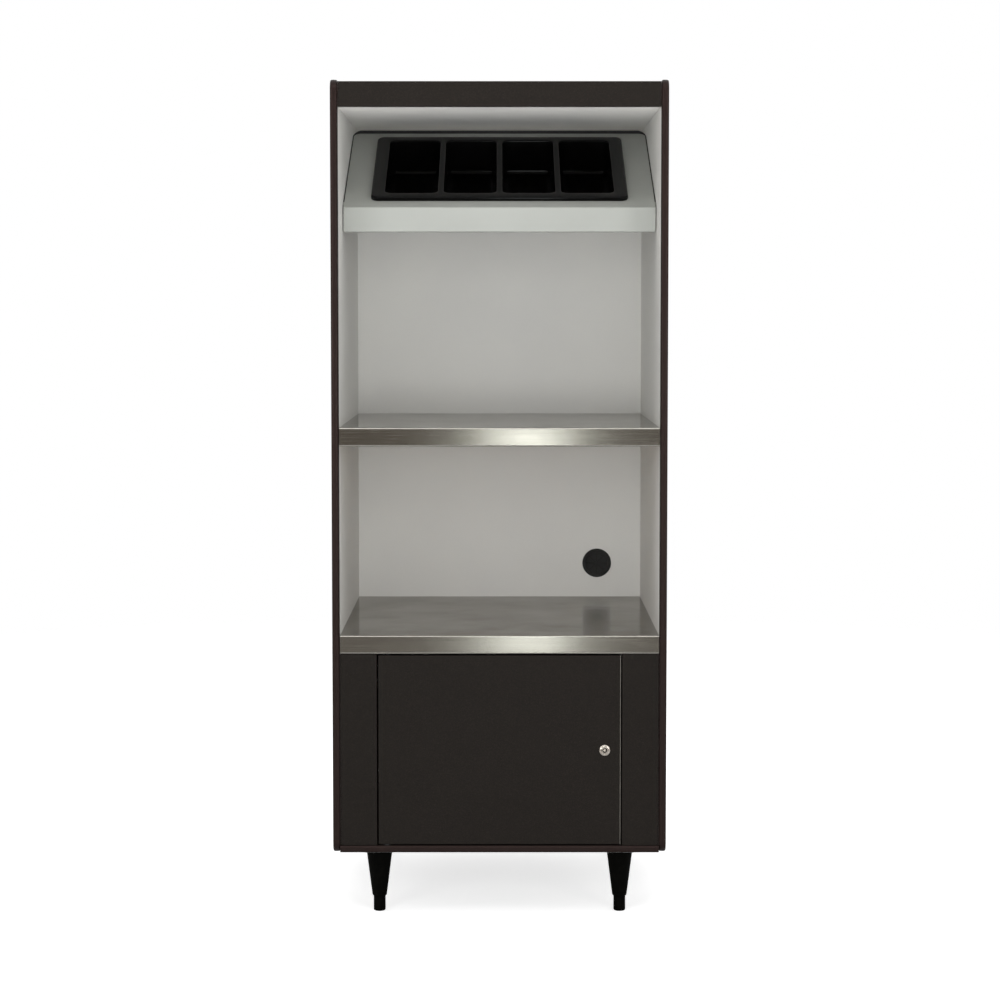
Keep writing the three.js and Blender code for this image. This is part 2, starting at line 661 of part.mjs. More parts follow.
function camLock() {
  const bore = PLUG_RADIUS + FIT;
  const body = [
    [bore, -LOCK_LENGTH],
    [LOCK_RADIUS, -LOCK_LENGTH],
    [LOCK_RADIUS, FIT],
    [LOCK_FLANGE_RADIUS, FIT],
    [LOCK_FLANGE_RADIUS, LOCK_FLANGE - LOCK_CHAMFER],
    [LOCK_FLANGE_RADIUS - LOCK_CHAMFER, LOCK_FLANGE],
    [bore, LOCK_FLANGE],
    [bore, -LOCK_LENGTH],
  ];
  const shoulder = -LOCK_LENGTH - FIT;
  const tail = shoulder - FIT - CAM_THICK;
  const screwHole = CAM_SCREW_RADIUS + FIT;
  const plug = [
    [0, tail + CAM_SCREW_LENGTH],
    [screwHole, tail + CAM_SCREW_LENGTH],
    [screwHole, tail],
    [PLUG_TAIL_RADIUS, tail],
    [PLUG_TAIL_RADIUS, shoulder],
    [PLUG_RADIUS, shoulder],
    [PLUG_RADIUS, PLUG_PROUD],
    [KEYWAY_OUTER, PLUG_PROUD],
    [KEYWAY_OUTER, PLUG_PROUD - KEYWAY_DEPTH],
    [KEYWAY_INNER, PLUG_PROUD - KEYWAY_DEPTH],
    [KEYWAY_INNER, PLUG_PROUD],
    [0, PLUG_PROUD],
  ];
  const headFace = tail - FIT;
  const screw = [
    [0, headFace - CAM_SCREW_HEAD],
    [CAM_SCREW_HEAD_RADIUS, headFace - CAM_SCREW_HEAD],
    [CAM_SCREW_HEAD_RADIUS, headFace],
    [CAM_SCREW_RADIUS, headFace],
    [CAM_SCREW_RADIUS, tail + CAM_SCREW_LENGTH - FIT],
    [0, tail + CAM_SCREW_LENGTH - FIT],
  ];
  add("lock_body", turnedFromFront(body, lockX, face, lockZ), chrome);
  add("lock_plug", turnedFromFront(plug, lockX, face, lockZ), chrome);
  add("lock_cam_screw", turnedFromFront(screw, lockX, face, lockZ), zinc);

  const nutOutline = new THREE.Shape();
  for (let corner = 0; corner < 6; corner++) {
    const angle = (corner * Math.PI) / 3;
    nutOutline[corner ? "lineTo" : "moveTo"](NUT_RADIUS * Math.cos(angle), NUT_RADIUS * Math.sin(angle));
  }
  nutOutline.holes.push(new THREE.Path().absarc(0, 0, LOCK_RADIUS + FIT, 0, 2 * Math.PI));
  const camOutline = new THREE.Shape();
  camOutline.absarc(0, 0, CAM_HALF_WIDTH, 0, Math.PI);
  camOutline.lineTo(-CAM_HALF_WIDTH, -CAM_LENGTH);
  camOutline.lineTo(CAM_HALF_WIDTH, -CAM_LENGTH);
  camOutline.holes.push(new THREE.Path().absarc(0, 0, PLUG_TAIL_RADIUS + FIT, 0, 2 * Math.PI));
  const plate = (outline, thickness, behind) =>
    new THREE.ExtrudeGeometry(outline, { depth: thickness, bevelEnabled: false, curveSegments: ROUND / 2 })
      .rotateX(Math.PI / 2)
      .translate(lockX, face + behind + thickness, lockZ);
  add("lock_nut", plate(nutOutline, NUT_THICK, BOARD + FIT), zinc);
  add("lock_cam", plate(camOutline, CAM_THICK, LOCK_LENGTH + 2 * FIT), zinc);
}

function legs() {
  const plateUnder = bottomUnder - LEG_PLATE_THICK;
  const neck = FOOT_HEIGHT + FIT;
  const bore = STEM_RADIUS + FIT;
  const boreTop = neck + STEM_LENGTH + FIT;
  const legProfile = [
    [0, boreTop],
    [bore, boreTop],
    [bore, neck],
    [LEG_FOOT_RADIUS - LEG_CHAMFER, neck],
    [LEG_FOOT_RADIUS, neck + LEG_CHAMFER],
    [LEG_TOP_RADIUS, legTop],
    [STUD_RADIUS, legTop],
    [STUD_RADIUS, legTop + STUD_LENGTH],
    [0, legTop + STUD_LENGTH],
  ];
  const footProfile = [
    [0, 0],
    [FOOT_RADIUS - FOOT_ROUND, 0],
    [FOOT_RADIUS, FOOT_ROUND],
    [FOOT_RADIUS, FOOT_HEIGHT - FOOT_ROUND],
    [FOOT_RADIUS - FOOT_ROUND, FOOT_HEIGHT],
    [STEM_RADIUS, FOOT_HEIGHT],
    [STEM_RADIUS, FOOT_HEIGHT + STEM_LENGTH],
    [0, FOOT_HEIGHT + STEM_LENGTH],
  ];
  for (const [place, x, y] of legPlaces) {
    const reach = LEG_PLATE / 2;
    const plate = block([x - reach, y - reach, plateUnder], [x + reach, y + reach, bottomUnder]);
    const hole = drill(STUD_RADIUS + FIT, x, y, plateUnder - FIT, bottomUnder + FIT);
    add(`leg_plate_${place}`, cut(plate, hole), zinc);
    add(`leg_${place}`, turned(legProfile, x, y), blackPlastic);
    add(`foot_${place}`, turned(footProfile, x, y), blackPlastic);
  }
}

sidePanels();
topAndBack();
bottom();
shelves();
condimentDeck();
condimentTray();
stilesAndStop();
door();
camLock();
legs();

export default cabinet;
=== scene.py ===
import json
import math

import bmesh
import bpy
import numpy as np
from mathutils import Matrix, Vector


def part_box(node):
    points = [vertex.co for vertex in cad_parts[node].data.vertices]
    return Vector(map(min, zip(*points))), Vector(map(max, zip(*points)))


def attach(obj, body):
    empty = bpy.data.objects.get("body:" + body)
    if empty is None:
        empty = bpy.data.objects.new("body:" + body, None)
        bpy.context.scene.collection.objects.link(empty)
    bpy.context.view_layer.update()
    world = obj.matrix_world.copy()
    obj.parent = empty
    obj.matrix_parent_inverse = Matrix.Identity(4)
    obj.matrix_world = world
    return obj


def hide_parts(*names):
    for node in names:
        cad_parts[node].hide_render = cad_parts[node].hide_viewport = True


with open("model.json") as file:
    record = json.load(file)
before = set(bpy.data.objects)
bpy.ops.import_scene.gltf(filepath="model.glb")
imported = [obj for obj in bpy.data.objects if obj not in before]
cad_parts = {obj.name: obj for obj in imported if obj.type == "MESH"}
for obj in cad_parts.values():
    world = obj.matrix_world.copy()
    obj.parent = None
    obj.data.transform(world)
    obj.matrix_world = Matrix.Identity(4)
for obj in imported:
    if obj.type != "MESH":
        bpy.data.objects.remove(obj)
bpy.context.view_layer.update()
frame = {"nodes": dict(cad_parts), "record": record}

# The fine surfaces and finishes of a condiment station cabinet. Metres, +Z up, the front faces -Y.
RECORD = frame["record"]
BODY = {node: body for body, nodes in RECORD["behaviour"]["bodies"].items() for node in nodes}
SLOT = {part["node"]: part["material_slot"] for part in RECORD["subparts"]}

# Sizes that the frame's boxes don't give
MM = 0.001
BOARD_EDGE = 0.6 * MM  # how far a laminated board's edges are broken
FIT = 0.3 * MM  # the gap between pieces that meet
MOULD_CROWN = 4 * MM
MOULD_CORNER = 16 * MM
MOULD_LIP = 0.5 * MM  # the flat edge of the mould, where it meets the board
SKIN = 1 * MM
SKIN_BEND = 2 * MM
SKIN_RETURN = 22 * MM
FASCIA_HEIGHT = 45.5 * MM
DECK_SHEET = 1.5 * MM
DECK_BEND = 3 * MM
DECK_CORNER = 15 * MM
DECK_RETURN = 16 * MM  # how far the sheet turns in under its fascia
SEAL_SIDE_WIDTH = 1.6 * MM
SEAL_BACK_WIDTH = 3 * MM
SEAL_SIDE_HEIGHT = 1 * MM
SEAL_BACK_HEIGHT = 6 * MM
SEAL_START = 30 * MM
SEAL_DOME = 0.3  # the share of its height that is its round top
BIN_COUNT = 4
BIN_SIZE = np.array([98, 266]) * MM
BIN_PITCH = 110 * MM
BIN_CORNER = 12 * MM
BIN_LEAST_CORNER = 3 * MM
BIN_FLOOR = -59.4 * MM
BIN_DRAFT = 5  # degrees
MOUTH_ROUND = 2.5 * MM
FLOOR_ROUND = 9 * MM
TRAY_SIZE = np.array([480, 312]) * MM
TRAY_FRONT = 30 * MM
TRAY_RIM = 8 * MM
TRAY_ROUND = 3.5 * MM
TRAY_CORNER = 14 * MM
TRAY_WALL = 2 * MM
TRAY_PLAY = 4.6 * MM  # from a bin's mouth to the edge of the deck's cut-out
BAND = 1.1 * MM  # the band on the door's free edge
BAND_EDGE = 0.3 * MM

LEG_PLACES = ("front_left", "front_right", "rear_left", "rear_right")
BRUSHING = "brushing"  # the map that runs along the steel's scratches
MIX_FACTOR, MIX_FIRST, MIX_SECOND, MIX_RESULT = 0, 6, 7, 2  # the sockets of a Mix node for colours


def srgb(red, green, blue):
    """A colour written as it looks on a screen, from 0 to 255, as the linear values that a shader takes."""
    shown = np.array([red, green, blue]) / 255
    linear = np.where(shown <= 0.04045, shown / 12.92, ((shown + 0.055) / 1.055) ** 2.4)
    return (*linear.tolist(), 1.0)


class Nodes:
    """A tree of nodes in the making, for a material or for the world."""

    def __init__(self, tree):
        self.tree = tree

    def link(self, value, socket):
        """Feeds a socket from another node, or sets it to a constant."""
        if isinstance(value, bpy.types.NodeSocket):
            self.tree.links.new(value, socket)
        else:
            socket.default_value = value

    def set(self, node, **values):
        for name, value in values.items():
            self.link(value, node.inputs[name.replace("_", " ")])

    def add(self, kind, settings=None, **values):
        node = self.tree.nodes.new(kind)
        for name, value in (settings or {}).items():
            setattr(node, name, value)
        self.set(node, **values)
        return node

    def between(self, factor, low, high, start=0.35, end=0.65):
        """A number that goes from low to high as the factor goes from start to end."""
        values = dict(Value=factor, From_Min=start, From_Max=end, To_Min=low, To_Max=high)
        return self.add("ShaderNodeMapRange", **values).outputs["Result"]

    def greater(self, first, second):
        """The greater of two numbers."""
        node = self.add("ShaderNodeMath", {"operation": "MAXIMUM"})
        for value, socket in zip((first, second), node.inputs):
            self.link(value, socket)
        return node.outputs["Value"]

    def mixed(self, factor, first, second):
        """The first shader where the factor is 0, and the second where it is 1."""
        node = self.add("ShaderNodeMixShader")
        for value, socket in zip((factor, first, second), node.inputs):
            self.link(value, socket)
        return node.outputs["Shader"]


class Finish(Nodes):
    """A material in the making: a Principled shader and the texture nodes that feed it."""

    def __init__(self, name, colour, roughness, metallic=0.0, **sockets):
        self.material = bpy.data.materials.new(name)
        self.material.use_nodes = True
        super().__init__(self.material.node_tree)
        self.shader = self.tree.nodes["Principled BSDF"]
        self.surface(Base_Color=colour, Roughness=roughness, Metallic=metallic, **sockets)
        self.object_place = self.add("ShaderNodeTexCoord").outputs["Object"]

    def surface(self, **values):
        """Sets or feeds the shader's own sockets."""
        self.set(self.shader, **values)

    def stretched(self, x, y, z):
        """Object coordinates, drawn out so that a pattern has these many repeats to the metre."""
        return self.add("ShaderNodeMapping", Vector=self.object_place, Scale=(x, y, z)).outputs["Vector"]

    def noise(self, scale, detail, roughness, place=None):
        values = dict(Vector=place or self.object_place, Scale=scale, Detail=detail, Roughness=roughness)
        return self.add("ShaderNodeTexNoise", **values).outputs["Fac"]

    def cells(self, scale, channel, place=None):
        """A shade of its own for each cell of a broken pattern: one channel of the cells' colours."""
        pattern = self.add("ShaderNodeTexVoronoi", Vector=place or self.object_place, Scale=scale)
        return self.add("ShaderNodeSeparateColor", Color=pattern.outputs["Color"]).outputs[channel]

    def shades(self, factor, *stops):
        """Colours spread over the factor, as (place, colour) stops."""
        node = self.add("ShaderNodeValToRGB", Fac=factor)
        ramp = node.color_ramp
        while len(ramp.elements) < len(stops):
            ramp.elements.new(1.0)
        for element, (place, colour) in zip(ramp.elements, stops):
            element.position = place
            element.color = colour
        return node.outputs["Color"]

    def blend(self, factor, first, second):
        """The first colour where the factor is 0, and the second where it is 1."""
        node = self.add("ShaderNodeMix", {"data_type": "RGBA"})
        self.link(factor, node.inputs[MIX_FACTOR])
        self.link(first, node.inputs[MIX_FIRST])
        self.link(second, node.inputs[MIX_SECOND])
        return node.outputs[MIX_RESULT]

    def relief(self, height, depth, strength):
        """Bumps of that depth, in metres."""
        bumps = self.add("ShaderNodeBump", Height=height, Distance=depth, Strength=strength)
        self.surface(Normal=bumps.outputs["Normal"])


def charcoal_laminate():
    """Charcoal laminate: a fine speckle of lighter and darker grains, in soft cloudy patches."""
    finish = Finish("charcoal_laminate", srgb(26, 21, 17), 0.55, Specular_IOR_Level=0.15)
    grain = finish.noise(650, 3, 0.7)
    cloud = finish.noise(14, 3, 0.55)
    fine = finish.shades(grain, (0.3, srgb(13, 11, 8)), (0.52, srgb(25, 20, 16)), (0.72, srgb(45, 39, 33)))
    patch = finish.shades(cloud, (0.3, srgb(24, 19, 15)), (0.7, srgb(28, 23, 19)))
    finish.surface(Base_Color=finish.blend(0.3, fine, patch), Roughness=finish.between(grain, 0.52, 0.6))
    finish.relief(grain, 0.04 * MM, 0.5)
    return finish.material


def grey_laminate():
    """Light grey laminate: a nearly plain satin sheet with a faint speckle and handling marks."""
    finish = Finish("grey_laminate", srgb(226, 225, 221), 0.58, Specular_IOR_Level=0.15)
    grain = finish.noise(700, 2, 0.6)
    wash = finish.noise(3.5, 4, 0.55)
    fine = finish.shades(grain, (0.3, srgb(222, 221, 218)), (0.7, srgb(231, 230, 226)))
    marks = finish.shades(wash, (0.3, srgb(220, 219, 216)), (0.7, srgb(232, 231, 226)))
    finish.surface(Base_Color=finish.blend(0.5, fine, marks), Roughness=finish.between(wash, 0.54, 0.64))
    finish.relief(grain, 0.02 * MM, 0.4)
    return finish.material


def brown_vinyl():
    """Dark brown extruded vinyl: satin, with fine drawn lines along its length and a few scuffs."""
    sheen = dict(Specular_IOR_Level=0.28, Specular_Tint=(1, 0.72, 0.66, 1))
    finish = Finish("brown_vinyl", srgb(21, 14, 13), 0.38, **sheen)
    lines = finish.noise(1, 2, 0.5, finish.stretched(1400, 9, 9))
    scuff = finish.noise(38, 4, 0.65)
    fine = finish.shades(lines, (0.3, srgb(18, 12, 11)), (0.7, srgb(26, 18, 17)))
    worn = finish.shades(scuff, (0.55, srgb(20, 14, 13)), (0.8, srgb(33, 25, 23)))
    finish.surface(Base_Color=finish.blend(0.4, fine, worn), Roughness=finish.between(scuff, 0.36, 0.46))
    finish.relief(lines, 0.02 * MM, 0.3)
    return finish.material


def bare_board():
    """Particle board: flat chips of several browns, pressed together, with a matt skin."""
    finish = Finish("bare_board", srgb(158, 128, 92), 0.85)
    chips = finish.cells(260, "Red", finish.stretched(0.5, 0.5, 1.0))
    dust = finish.noise(420, 3, 0.6)
    wood = finish.shades(
        chips, (0.0, srgb(120, 92, 62)), (0.5, srgb(160, 130, 92)), (1.0, srgb(190, 162, 122))
    )
    powder = finish.shades(dust, (0.35, srgb(138, 108, 76)), (0.7, srgb(172, 142, 104)))
    finish.surface(Base_Color=finish.blend(0.5, wood, powder), Roughness=finish.between(dust, 0.78, 0.92))
    finish.relief(chips, 0.15 * MM, 0.5)
    return finish.material


def brushed_steel(name, wiped):
    """Stainless sheet brushed from side to side: long fine scratches that spread its gloss up and down.
    The sheet's own map runs along the scratches, and the shader's stretch follows it. The top, which is
    wiped every day, is smoother than the front, and the bends are painted paler: a painted highlight."""
    finish = Finish(name, srgb(141, 137, 129), 0.25, 1.0, Anisotropic=0.9, Anisotropic_Rotation=0.25)
    hair = finish.noise(1, 3, 0.6, finish.stretched(7, 2600, 2600))
    streak = finish.noise(1, 3, 0.6, finish.stretched(2.5, 420, 420))
    smudge = finish.noise(9, 4, 0.6)
    tone = finish.shades(hair, (0.3, srgb(130, 126, 118)), (0.7, srgb(152, 148, 140)))
    band = finish.shades(streak, (0.3, srgb(135, 131, 123)), (0.7, srgb(147, 143, 135)))
    facing = finish.add("ShaderNodeTexCoord").outputs["Normal"]
    upward = finish.add("ShaderNodeSeparateXYZ", Vector=facing).outputs["Z"]
    lean = finish.add("ShaderNodeMath", {"operation": "ABSOLUTE"}, Value=upward).outputs["Value"]
    # painted highlight: the bends, top and bottom, take a paler colour than the flats
    bend_highlight = finish.between(lean, finish.between(lean, 0.0, 1.0, 0.05, 0.3), 0.0, 0.8, 0.97)
    sheet = finish.blend(0.5, tone, band)
    finish.surface(Base_Color=finish.blend(bend_highlight, sheet, srgb(190, 187, 180)))
    front = finish.between(finish.blend(0.35, hair, smudge), 0.2, 0.28)
    top = finish.between(smudge, wiped, 1.4 * wiped)
    finish.surface(Roughness=finish.between(upward, front, top, 0.8, 0.98))
    along = finish.add("ShaderNodeTangent", {"direction_type": "UV_MAP", "uv_map": BRUSHING})
    finish.surface(Tangent=along.outputs["Tangent"])
    finish.relief(hair, 0.004 * MM, 0.4)
    return finish.material


def stainless_steel():
    """The oven shelf's sheet."""
    return brushed_steel("stainless_steel", 0.16)


def counter_steel():
    """The counter's sheet, which is wiped the most."""
    return brushed_steel("counter_steel", 0.1)


def grey_enamel():
    """Baked enamel on sheet: a faint orange peel and a slight unevenness of shade."""
    finish = Finish("grey_enamel", srgb(164, 166, 161), 0.5, Specular_IOR_Level=0.3)
    peel = finish.noise(520, 2, 0.5)
    wash = finish.noise(5, 3, 0.5)
    finish.surface(
        Base_Color=finish.shades(wash, (0.3, srgb(160, 162, 157)), (0.7, srgb(168, 170, 165))),
        Roughness=finish.between(wash, 0.44, 0.54),
    )
    finish.relief(peel, 0.03 * MM, 0.35)
    return finish.material


def black_gloss_plastic():
    """Gloss black moulded plastic: deep and smooth, with a haze of fine wiping marks."""
    finish = Finish("black_gloss_plastic", srgb(5, 5, 5), 0.09, Specular_IOR_Level=0.12)
    wipe = finish.noise(1, 3, 0.6, finish.stretched(60, 900, 900))
    haze = finish.noise(22, 4, 0.6)
    finish.surface(
        Base_Color=finish.shades(haze, (0.35, srgb(4, 4, 4)), (0.75, srgb(7, 7, 7))),
        Roughness=finish.between(finish.blend(0.5, wipe, haze), 0.06, 0.14),
    )
    finish.relief(haze, 0.06 * MM, 0.2)
    return finish.material


def black_rubber():
    """Black rubber: matt, with a fine tooth and a dusty bloom."""
    finish = Finish("black_rubber", srgb(24, 24, 24), 0.68)
    tooth = finish.noise(1200, 2, 0.6)
    bloom = finish.noise(45, 3, 0.6)
    finish.surface(
        Base_Color=finish.shades(bloom, (0.4, srgb(20, 20, 20)), (0.75, srgb(38, 37, 36))),
        Roughness=finish.between(bloom, 0.6, 0.76),
    )
    finish.relief(tooth, 0.05 * MM, 0.4)
    return finish.material


def black_plastic():
    """Black moulded plastic: satin, with a fine spark-eroded texture and a few scuffs."""
    finish = Finish("black_plastic", srgb(4, 4, 3), 0.55, Specular_IOR_Level=0.03)
    tooth = finish.noise(1500, 2, 0.6)
    scuff = finish.noise(70, 4, 0.7)
    finish.surface(
        Base_Color=finish.shades(scuff, (0.5, srgb(4, 4, 3)), (0.8, srgb(11, 10, 8))),
        Roughness=finish.between(scuff, 0.5, 0.64),
    )
    finish.relief(tooth, 0.05 * MM, 0.4)
    return finish.material


def chrome_plate():
    """Chrome plate: a bright mirror, dulled a little by fingers and fine turning lines."""
    finish = Finish("chrome_plate", srgb(204, 196, 186), 0.26, 1.0)
    smear = finish.noise(160, 3, 0.6)
    turning = finish.noise(2200, 2, 0.5)
    finish.surface(
        Base_Color=finish.shades(smear, (0.3, srgb(196, 187, 176)), (0.7, srgb(212, 205, 196))),
        Roughness=finish.between(smear, 0.2, 0.34),
    )
    finish.relief(turning, 0.006 * MM, 0.4)
    return finish.material


def zinc_plate():
    """Bright zinc on steel: a cool mottled spangle that takes a soft gloss."""
    finish = Finish("zinc_plate", srgb(176, 178, 178), 0.36, 1.0)
    spangle = finish.cells(420, "Green")
    haze = finish.noise(60, 3, 0.6)
    flake = finish.shades(spangle, (0.0, srgb(160, 163, 165)), (1.0, srgb(192, 193, 190)))
    dull = finish.shades(haze, (0.35, srgb(162, 164, 165)), (0.7, srgb(190, 190, 186)))
    finish.surface(Base_Color=finish.blend(0.5, flake, dull), Roughness=finish.between(haze, 0.28, 0.46))
    return finish.material


def nylon():
    """Black nylon: a dull moulded skin with a slight mottle."""
    finish = Finish("nylon", srgb(22, 22, 22), 0.5)
    mottle = finish.noise(120, 3, 0.5)
    finish.surface(
        Base_Color=finish.shades(mottle, (0.3, srgb(18, 18, 18)), (0.7, srgb(30, 30, 29))),
        Roughness=finish.between(mottle, 0.44, 0.58),
    )
    return finish.material


def black_oxide():
    """Steel blackened in oil: dark, with a soft metallic sheen and paler rubbed places."""
    finish = Finish("black_oxide", srgb(34, 34, 36), 0.45, 0.8)
    rubbed = finish.noise(240, 3, 0.6)
    finish.surface(
        Base_Color=finish.shades(rubbed, (0.35, srgb(26, 26, 28)), (0.75, srgb(62, 61, 60))),
        Roughness=finish.between(rubbed, 0.36, 0.54),
    )
    return finish.material


def phenolic_edge_and_shade():
    """The cut edge of laminate: dark brown resin paper, in fine layers along the sheet. On the liners'
    front edges its darkness is also painted shade, for the shadowed gap beside the moulds.
    """
    finish = Finish("phenolic_edge_and_shade", srgb(40, 30, 26), 0.6)
    layers = finish.noise(1, 2, 0.6, finish.stretched(3000, 200, 40))
    finish.surface(
        Base_Color=finish.shades(layers, (0.3, srgb(30, 22, 19)), (0.7, srgb(52, 40, 35))),
        Roughness=finish.between(layers, 0.5, 0.7),
    )
    return finish.material


def edge_band_highlight():
    """The door's edge band: thin grey vinyl, painted paler than the laminate in streaks along its length,
    as a painted highlight on the door's free edge.
    """
    finish = Finish("edge_band_highlight", srgb(96, 92, 86), 0.4)
    # painted highlight: streaks of paler colour along the band
    highlight_streaks = finish.noise(1, 3, 0.6, finish.stretched(900, 900, 60))
    finish.surface(
        Base_Color=finish.shades(highlight_streaks, (0.3, srgb(82, 78, 72)), (0.7, srgb(122, 118, 110))),
        Roughness=finish.between(highlight_streaks, 0.34, 0.5),
    )
    return finish.material


FINISHES = {
    make.__name__: make()
    for make in (
        charcoal_laminate, grey_laminate, brown_vinyl, bare_board, stainless_steel, counter_steel,
        grey_enamel, black_gloss_plastic, black_rubber, black_plastic, chrome_plate, zinc_plate,
        nylon, edge_band_highlight, black_oxide, phenolic_edge_and_shade,
    )
}


def grid_faces(rows, columns, closed=False):
    """Quads between neighbouring points of a grid; a closed grid joins its last column to its first."""
    row = np.arange(rows - 1)[:, None] * columns
    column = np.arange(columns if closed else columns - 1)[None, :]
    after = (column + 1) % columns
    corners = np.broadcast_arrays(row + column, row + after, row + columns + after, row + columns + column)
    return np.stack(corners, axis=-1).reshape(-1, 4)


def tube(rings):
    """A closed skin over rings of points, an array (ring, point, 3): sides between the rings, and a flat
    cap on each end."""
    rows, columns = rings.shape[:2]
    first = np.arange(columns)[::-1]
    last = np.arange(columns) + (rows - 1) * columns
    faces = grid_faces(rows, columns, closed=True).tolist()
    return rings.reshape(-1, 3), [*faces, first.tolist(), last.tolist()]


def joined(*skins):
    """Several skins in one: their points in a row, with each one's faces counted on from the last."""
    starts = np.cumsum([0, *(len(points) for points, _ in skins)])
    faces = [
        [corner + start for corner in face] for (_, skin), start in zip(skins, starts) for face in skin
    ]
    return np.concatenate([points for points, _ in skins]), faces


def made(name, skin, node, replaced=(), finish=None, closed=True, sharp=32):
    """A piece with its place in its mesh. It rides with the node's body and takes the node's finish."""
    points, faces = skin
    mesh = bpy.data.meshes.new(name)
    mesh.from_pydata(np.asarray(points).tolist(), [], faces)
    work = bmesh.new()
    work.from_mesh(mesh)
    bmesh.ops.remove_doubles(work, verts=work.verts, dist=1e-6)
    if closed:
        bmesh.ops.recalc_face_normals(work, faces=work.faces)
    work.to_mesh(mesh)
    work.free()
    mesh.polygons.foreach_set("use_smooth", np.ones(len(mesh.polygons), bool))
    mesh.set_sharp_from_angle(angle=math.radians(sharp))
    mesh.materials.append(FINISHES[finish or SLOT[node]])
    piece = bpy.data.objects.new(name, mesh)
    bpy.context.collection.objects.link(piece)
    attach(piece, BODY[node])
    if replaced:
        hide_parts(*replaced)
    return piece


def span(node):
    """A node's lowest and highest corners."""
    low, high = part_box(node)
    return np.array(low), np.array(high)


def box_skin(low, high):
    """The eight corners of a box and its six faces."""
    corners = np.stack(np.meshgrid(*zip(low, high), indexing="ij"), axis=-1).reshape(-1, 3)
    faces = [[0, 1, 3, 2], [4, 6, 7, 5], [0, 4, 5, 1], [2, 3, 7, 6], [0, 2, 6, 4], [1, 5, 7, 3]]
    return corners, faces


def broken_edges(piece, width):
    """Rounds a piece's edges by that width."""
    bevel = piece.modifiers.new("broken_edges", "BEVEL")
    bevel.width = width
    bevel.segments = 3
    bevel.limit_method = "ANGLE"
    bevel.harden_normals = True
    return piece


def thickened(sheet, thickness):
    """Gives a sheet its thickness, inwards from its face."""
    wall = sheet.modifiers.new("wall", "SOLIDIFY")
    wall.thickness = thickness
    wall.offset = -1
    return sheet


def flat_faces(piece):
    """Keeps the shading of wide flats even where they run into narrow bends."""
    even = piece.modifiers.new("flat_faces", "WEIGHTED_NORMAL")
    even.keep_sharp = True
    return piece


def map_along_x(mesh):
    """A map over a sheet that is bent about X: its first coordinate is x, its second y and z together."""
    place = np.empty(3 * len(mesh.vertices), np.float32)
    mesh.vertices.foreach_get("co", place)
    place = place.reshape(-1, 3)
    corner = np.empty(len(mesh.loops), np.int32)
    mesh.loops.foreach_get("vertex_index", corner)
    spread = np.column_stack([place[:, 0], place[:, 1] + place[:, 2]])[corner]
    mesh.uv_layers.new(name=BRUSHING).uv.foreach_set("vector", spread.ravel())


def board(node, width=BOARD_EDGE):
    """A board in its node's box, with its edges broken."""
    return broken_edges(made(f"{node}_board", box_skin(*span(node)), node, (node,)), width)


def dark_front(liner):
    """Shows the laminate's brown core on its front edge and where its edges are broken. The dark edge is
    also painted shade, for the shadowed gap between the mould and the liner.
    """
    liner.data.materials.append(FINISHES["phenolic_edge_and_shade"])
    # painted shade: the dark front edge stands for the shadow in the gap beside the mould
    front = min(liner.data.polygons, key=lambda face: face.center.y)
    front.material_index = 1
    liner.modifiers["broken_edges"].material = 1


def arc(centre, radius, start, end, steps):
    """Points along a circle's arc, in degrees."""
    angle = np.radians(np.linspace(start, end, steps + 1))
    return np.asarray(centre) + radius * np.stack([np.cos(angle), np.sin(angle)], axis=-1)


def drawn_along_x(outline, x0, x1):
    """An outline of (y, z) points carried straight from x0 to x1."""
    outline = np.asarray(outline)
    ring = lambda x: np.column_stack([np.full(len(outline), x), outline])
    return tube(np.stack([ring(x0), ring(x1)]))


def edge_path(low, high):
    """The side board's edge, from its upper back corner round the front to its lower back corner:
    places (y, z) and outward directions, with a quarter circle at each front corner."""
    face, bottom, top = low[1] + MOULD_CROWN, low[2] + MOULD_CROWN, high[2] - MOULD_CROWN
    upper = arc((0, 0), 1, 90, 180, steps=20)
    lower = arc((0, 0), 1, 180, 270, steps=20)
    upper_centre = np.array([face + MOULD_CORNER, top - MOULD_CORNER])
    lower_centre = np.array([face + MOULD_CORNER, bottom + MOULD_CORNER])
    rear_top = np.array([[high[1], top]])
    rear_bottom = np.array([[high[1], bottom]])
    corners = [upper_centre + MOULD_CORNER * upper, lower_centre + MOULD_CORNER * lower]
    place = np.concatenate([rear_top, *corners, rear_bottom])
    outward = np.concatenate([[[0, 1]], upper, lower, [[0, -1]]])
    return place, outward


def crown(width):
    """The mould's section as (across, out): a flat lip at each edge, and over the middle a nearly flat
    crown, half a superellipse: |across / half width| and |out / rise|, each to the third power, add up to
    one."""
    angle = np.radians(np.linspace(0, 180, 41))
    rise = MOULD_CROWN - FIT - MOULD_LIP
    flatness = 2 / 3
    across = np.sign(np.cos(angle)) * abs(np.cos(angle)) ** flatness
    dome = np.column_stack([width / 2 * across, FIT + MOULD_LIP + rise * np.sin(angle) ** flatness])
    return np.concatenate([[[width / 2, FIT]], dome, [[-width / 2, FIT]]])


def side_panels_and_moulds():
    """The side boards, their liners, and the mould's crown carried round the front edges."""
    for side in ("left", "right"):
        low, high = span(f"{side}_edge_mould")
        place, outward = edge_path(low, high)
        across, out = crown(high[0] - low[0]).T
        middle = (low[0] + high[0]) / 2
        plane = place[:, None] + outward[:, None] * out[None, :, None]
        x = np.broadcast_to(middle + across, plane.shape[:2])
        skin = tube(np.concatenate([x[..., None], plane], axis=-1))
        made(f"{side}_mould", skin, f"{side}_edge_mould", (f"{side}_edge_mould",))
        panel = f"{side}_side_panel"
        made(f"{side}_board", drawn_along_x(place, low[0], high[0]), panel, (panel,))
        dark_front(board(f"{side}_liner"))


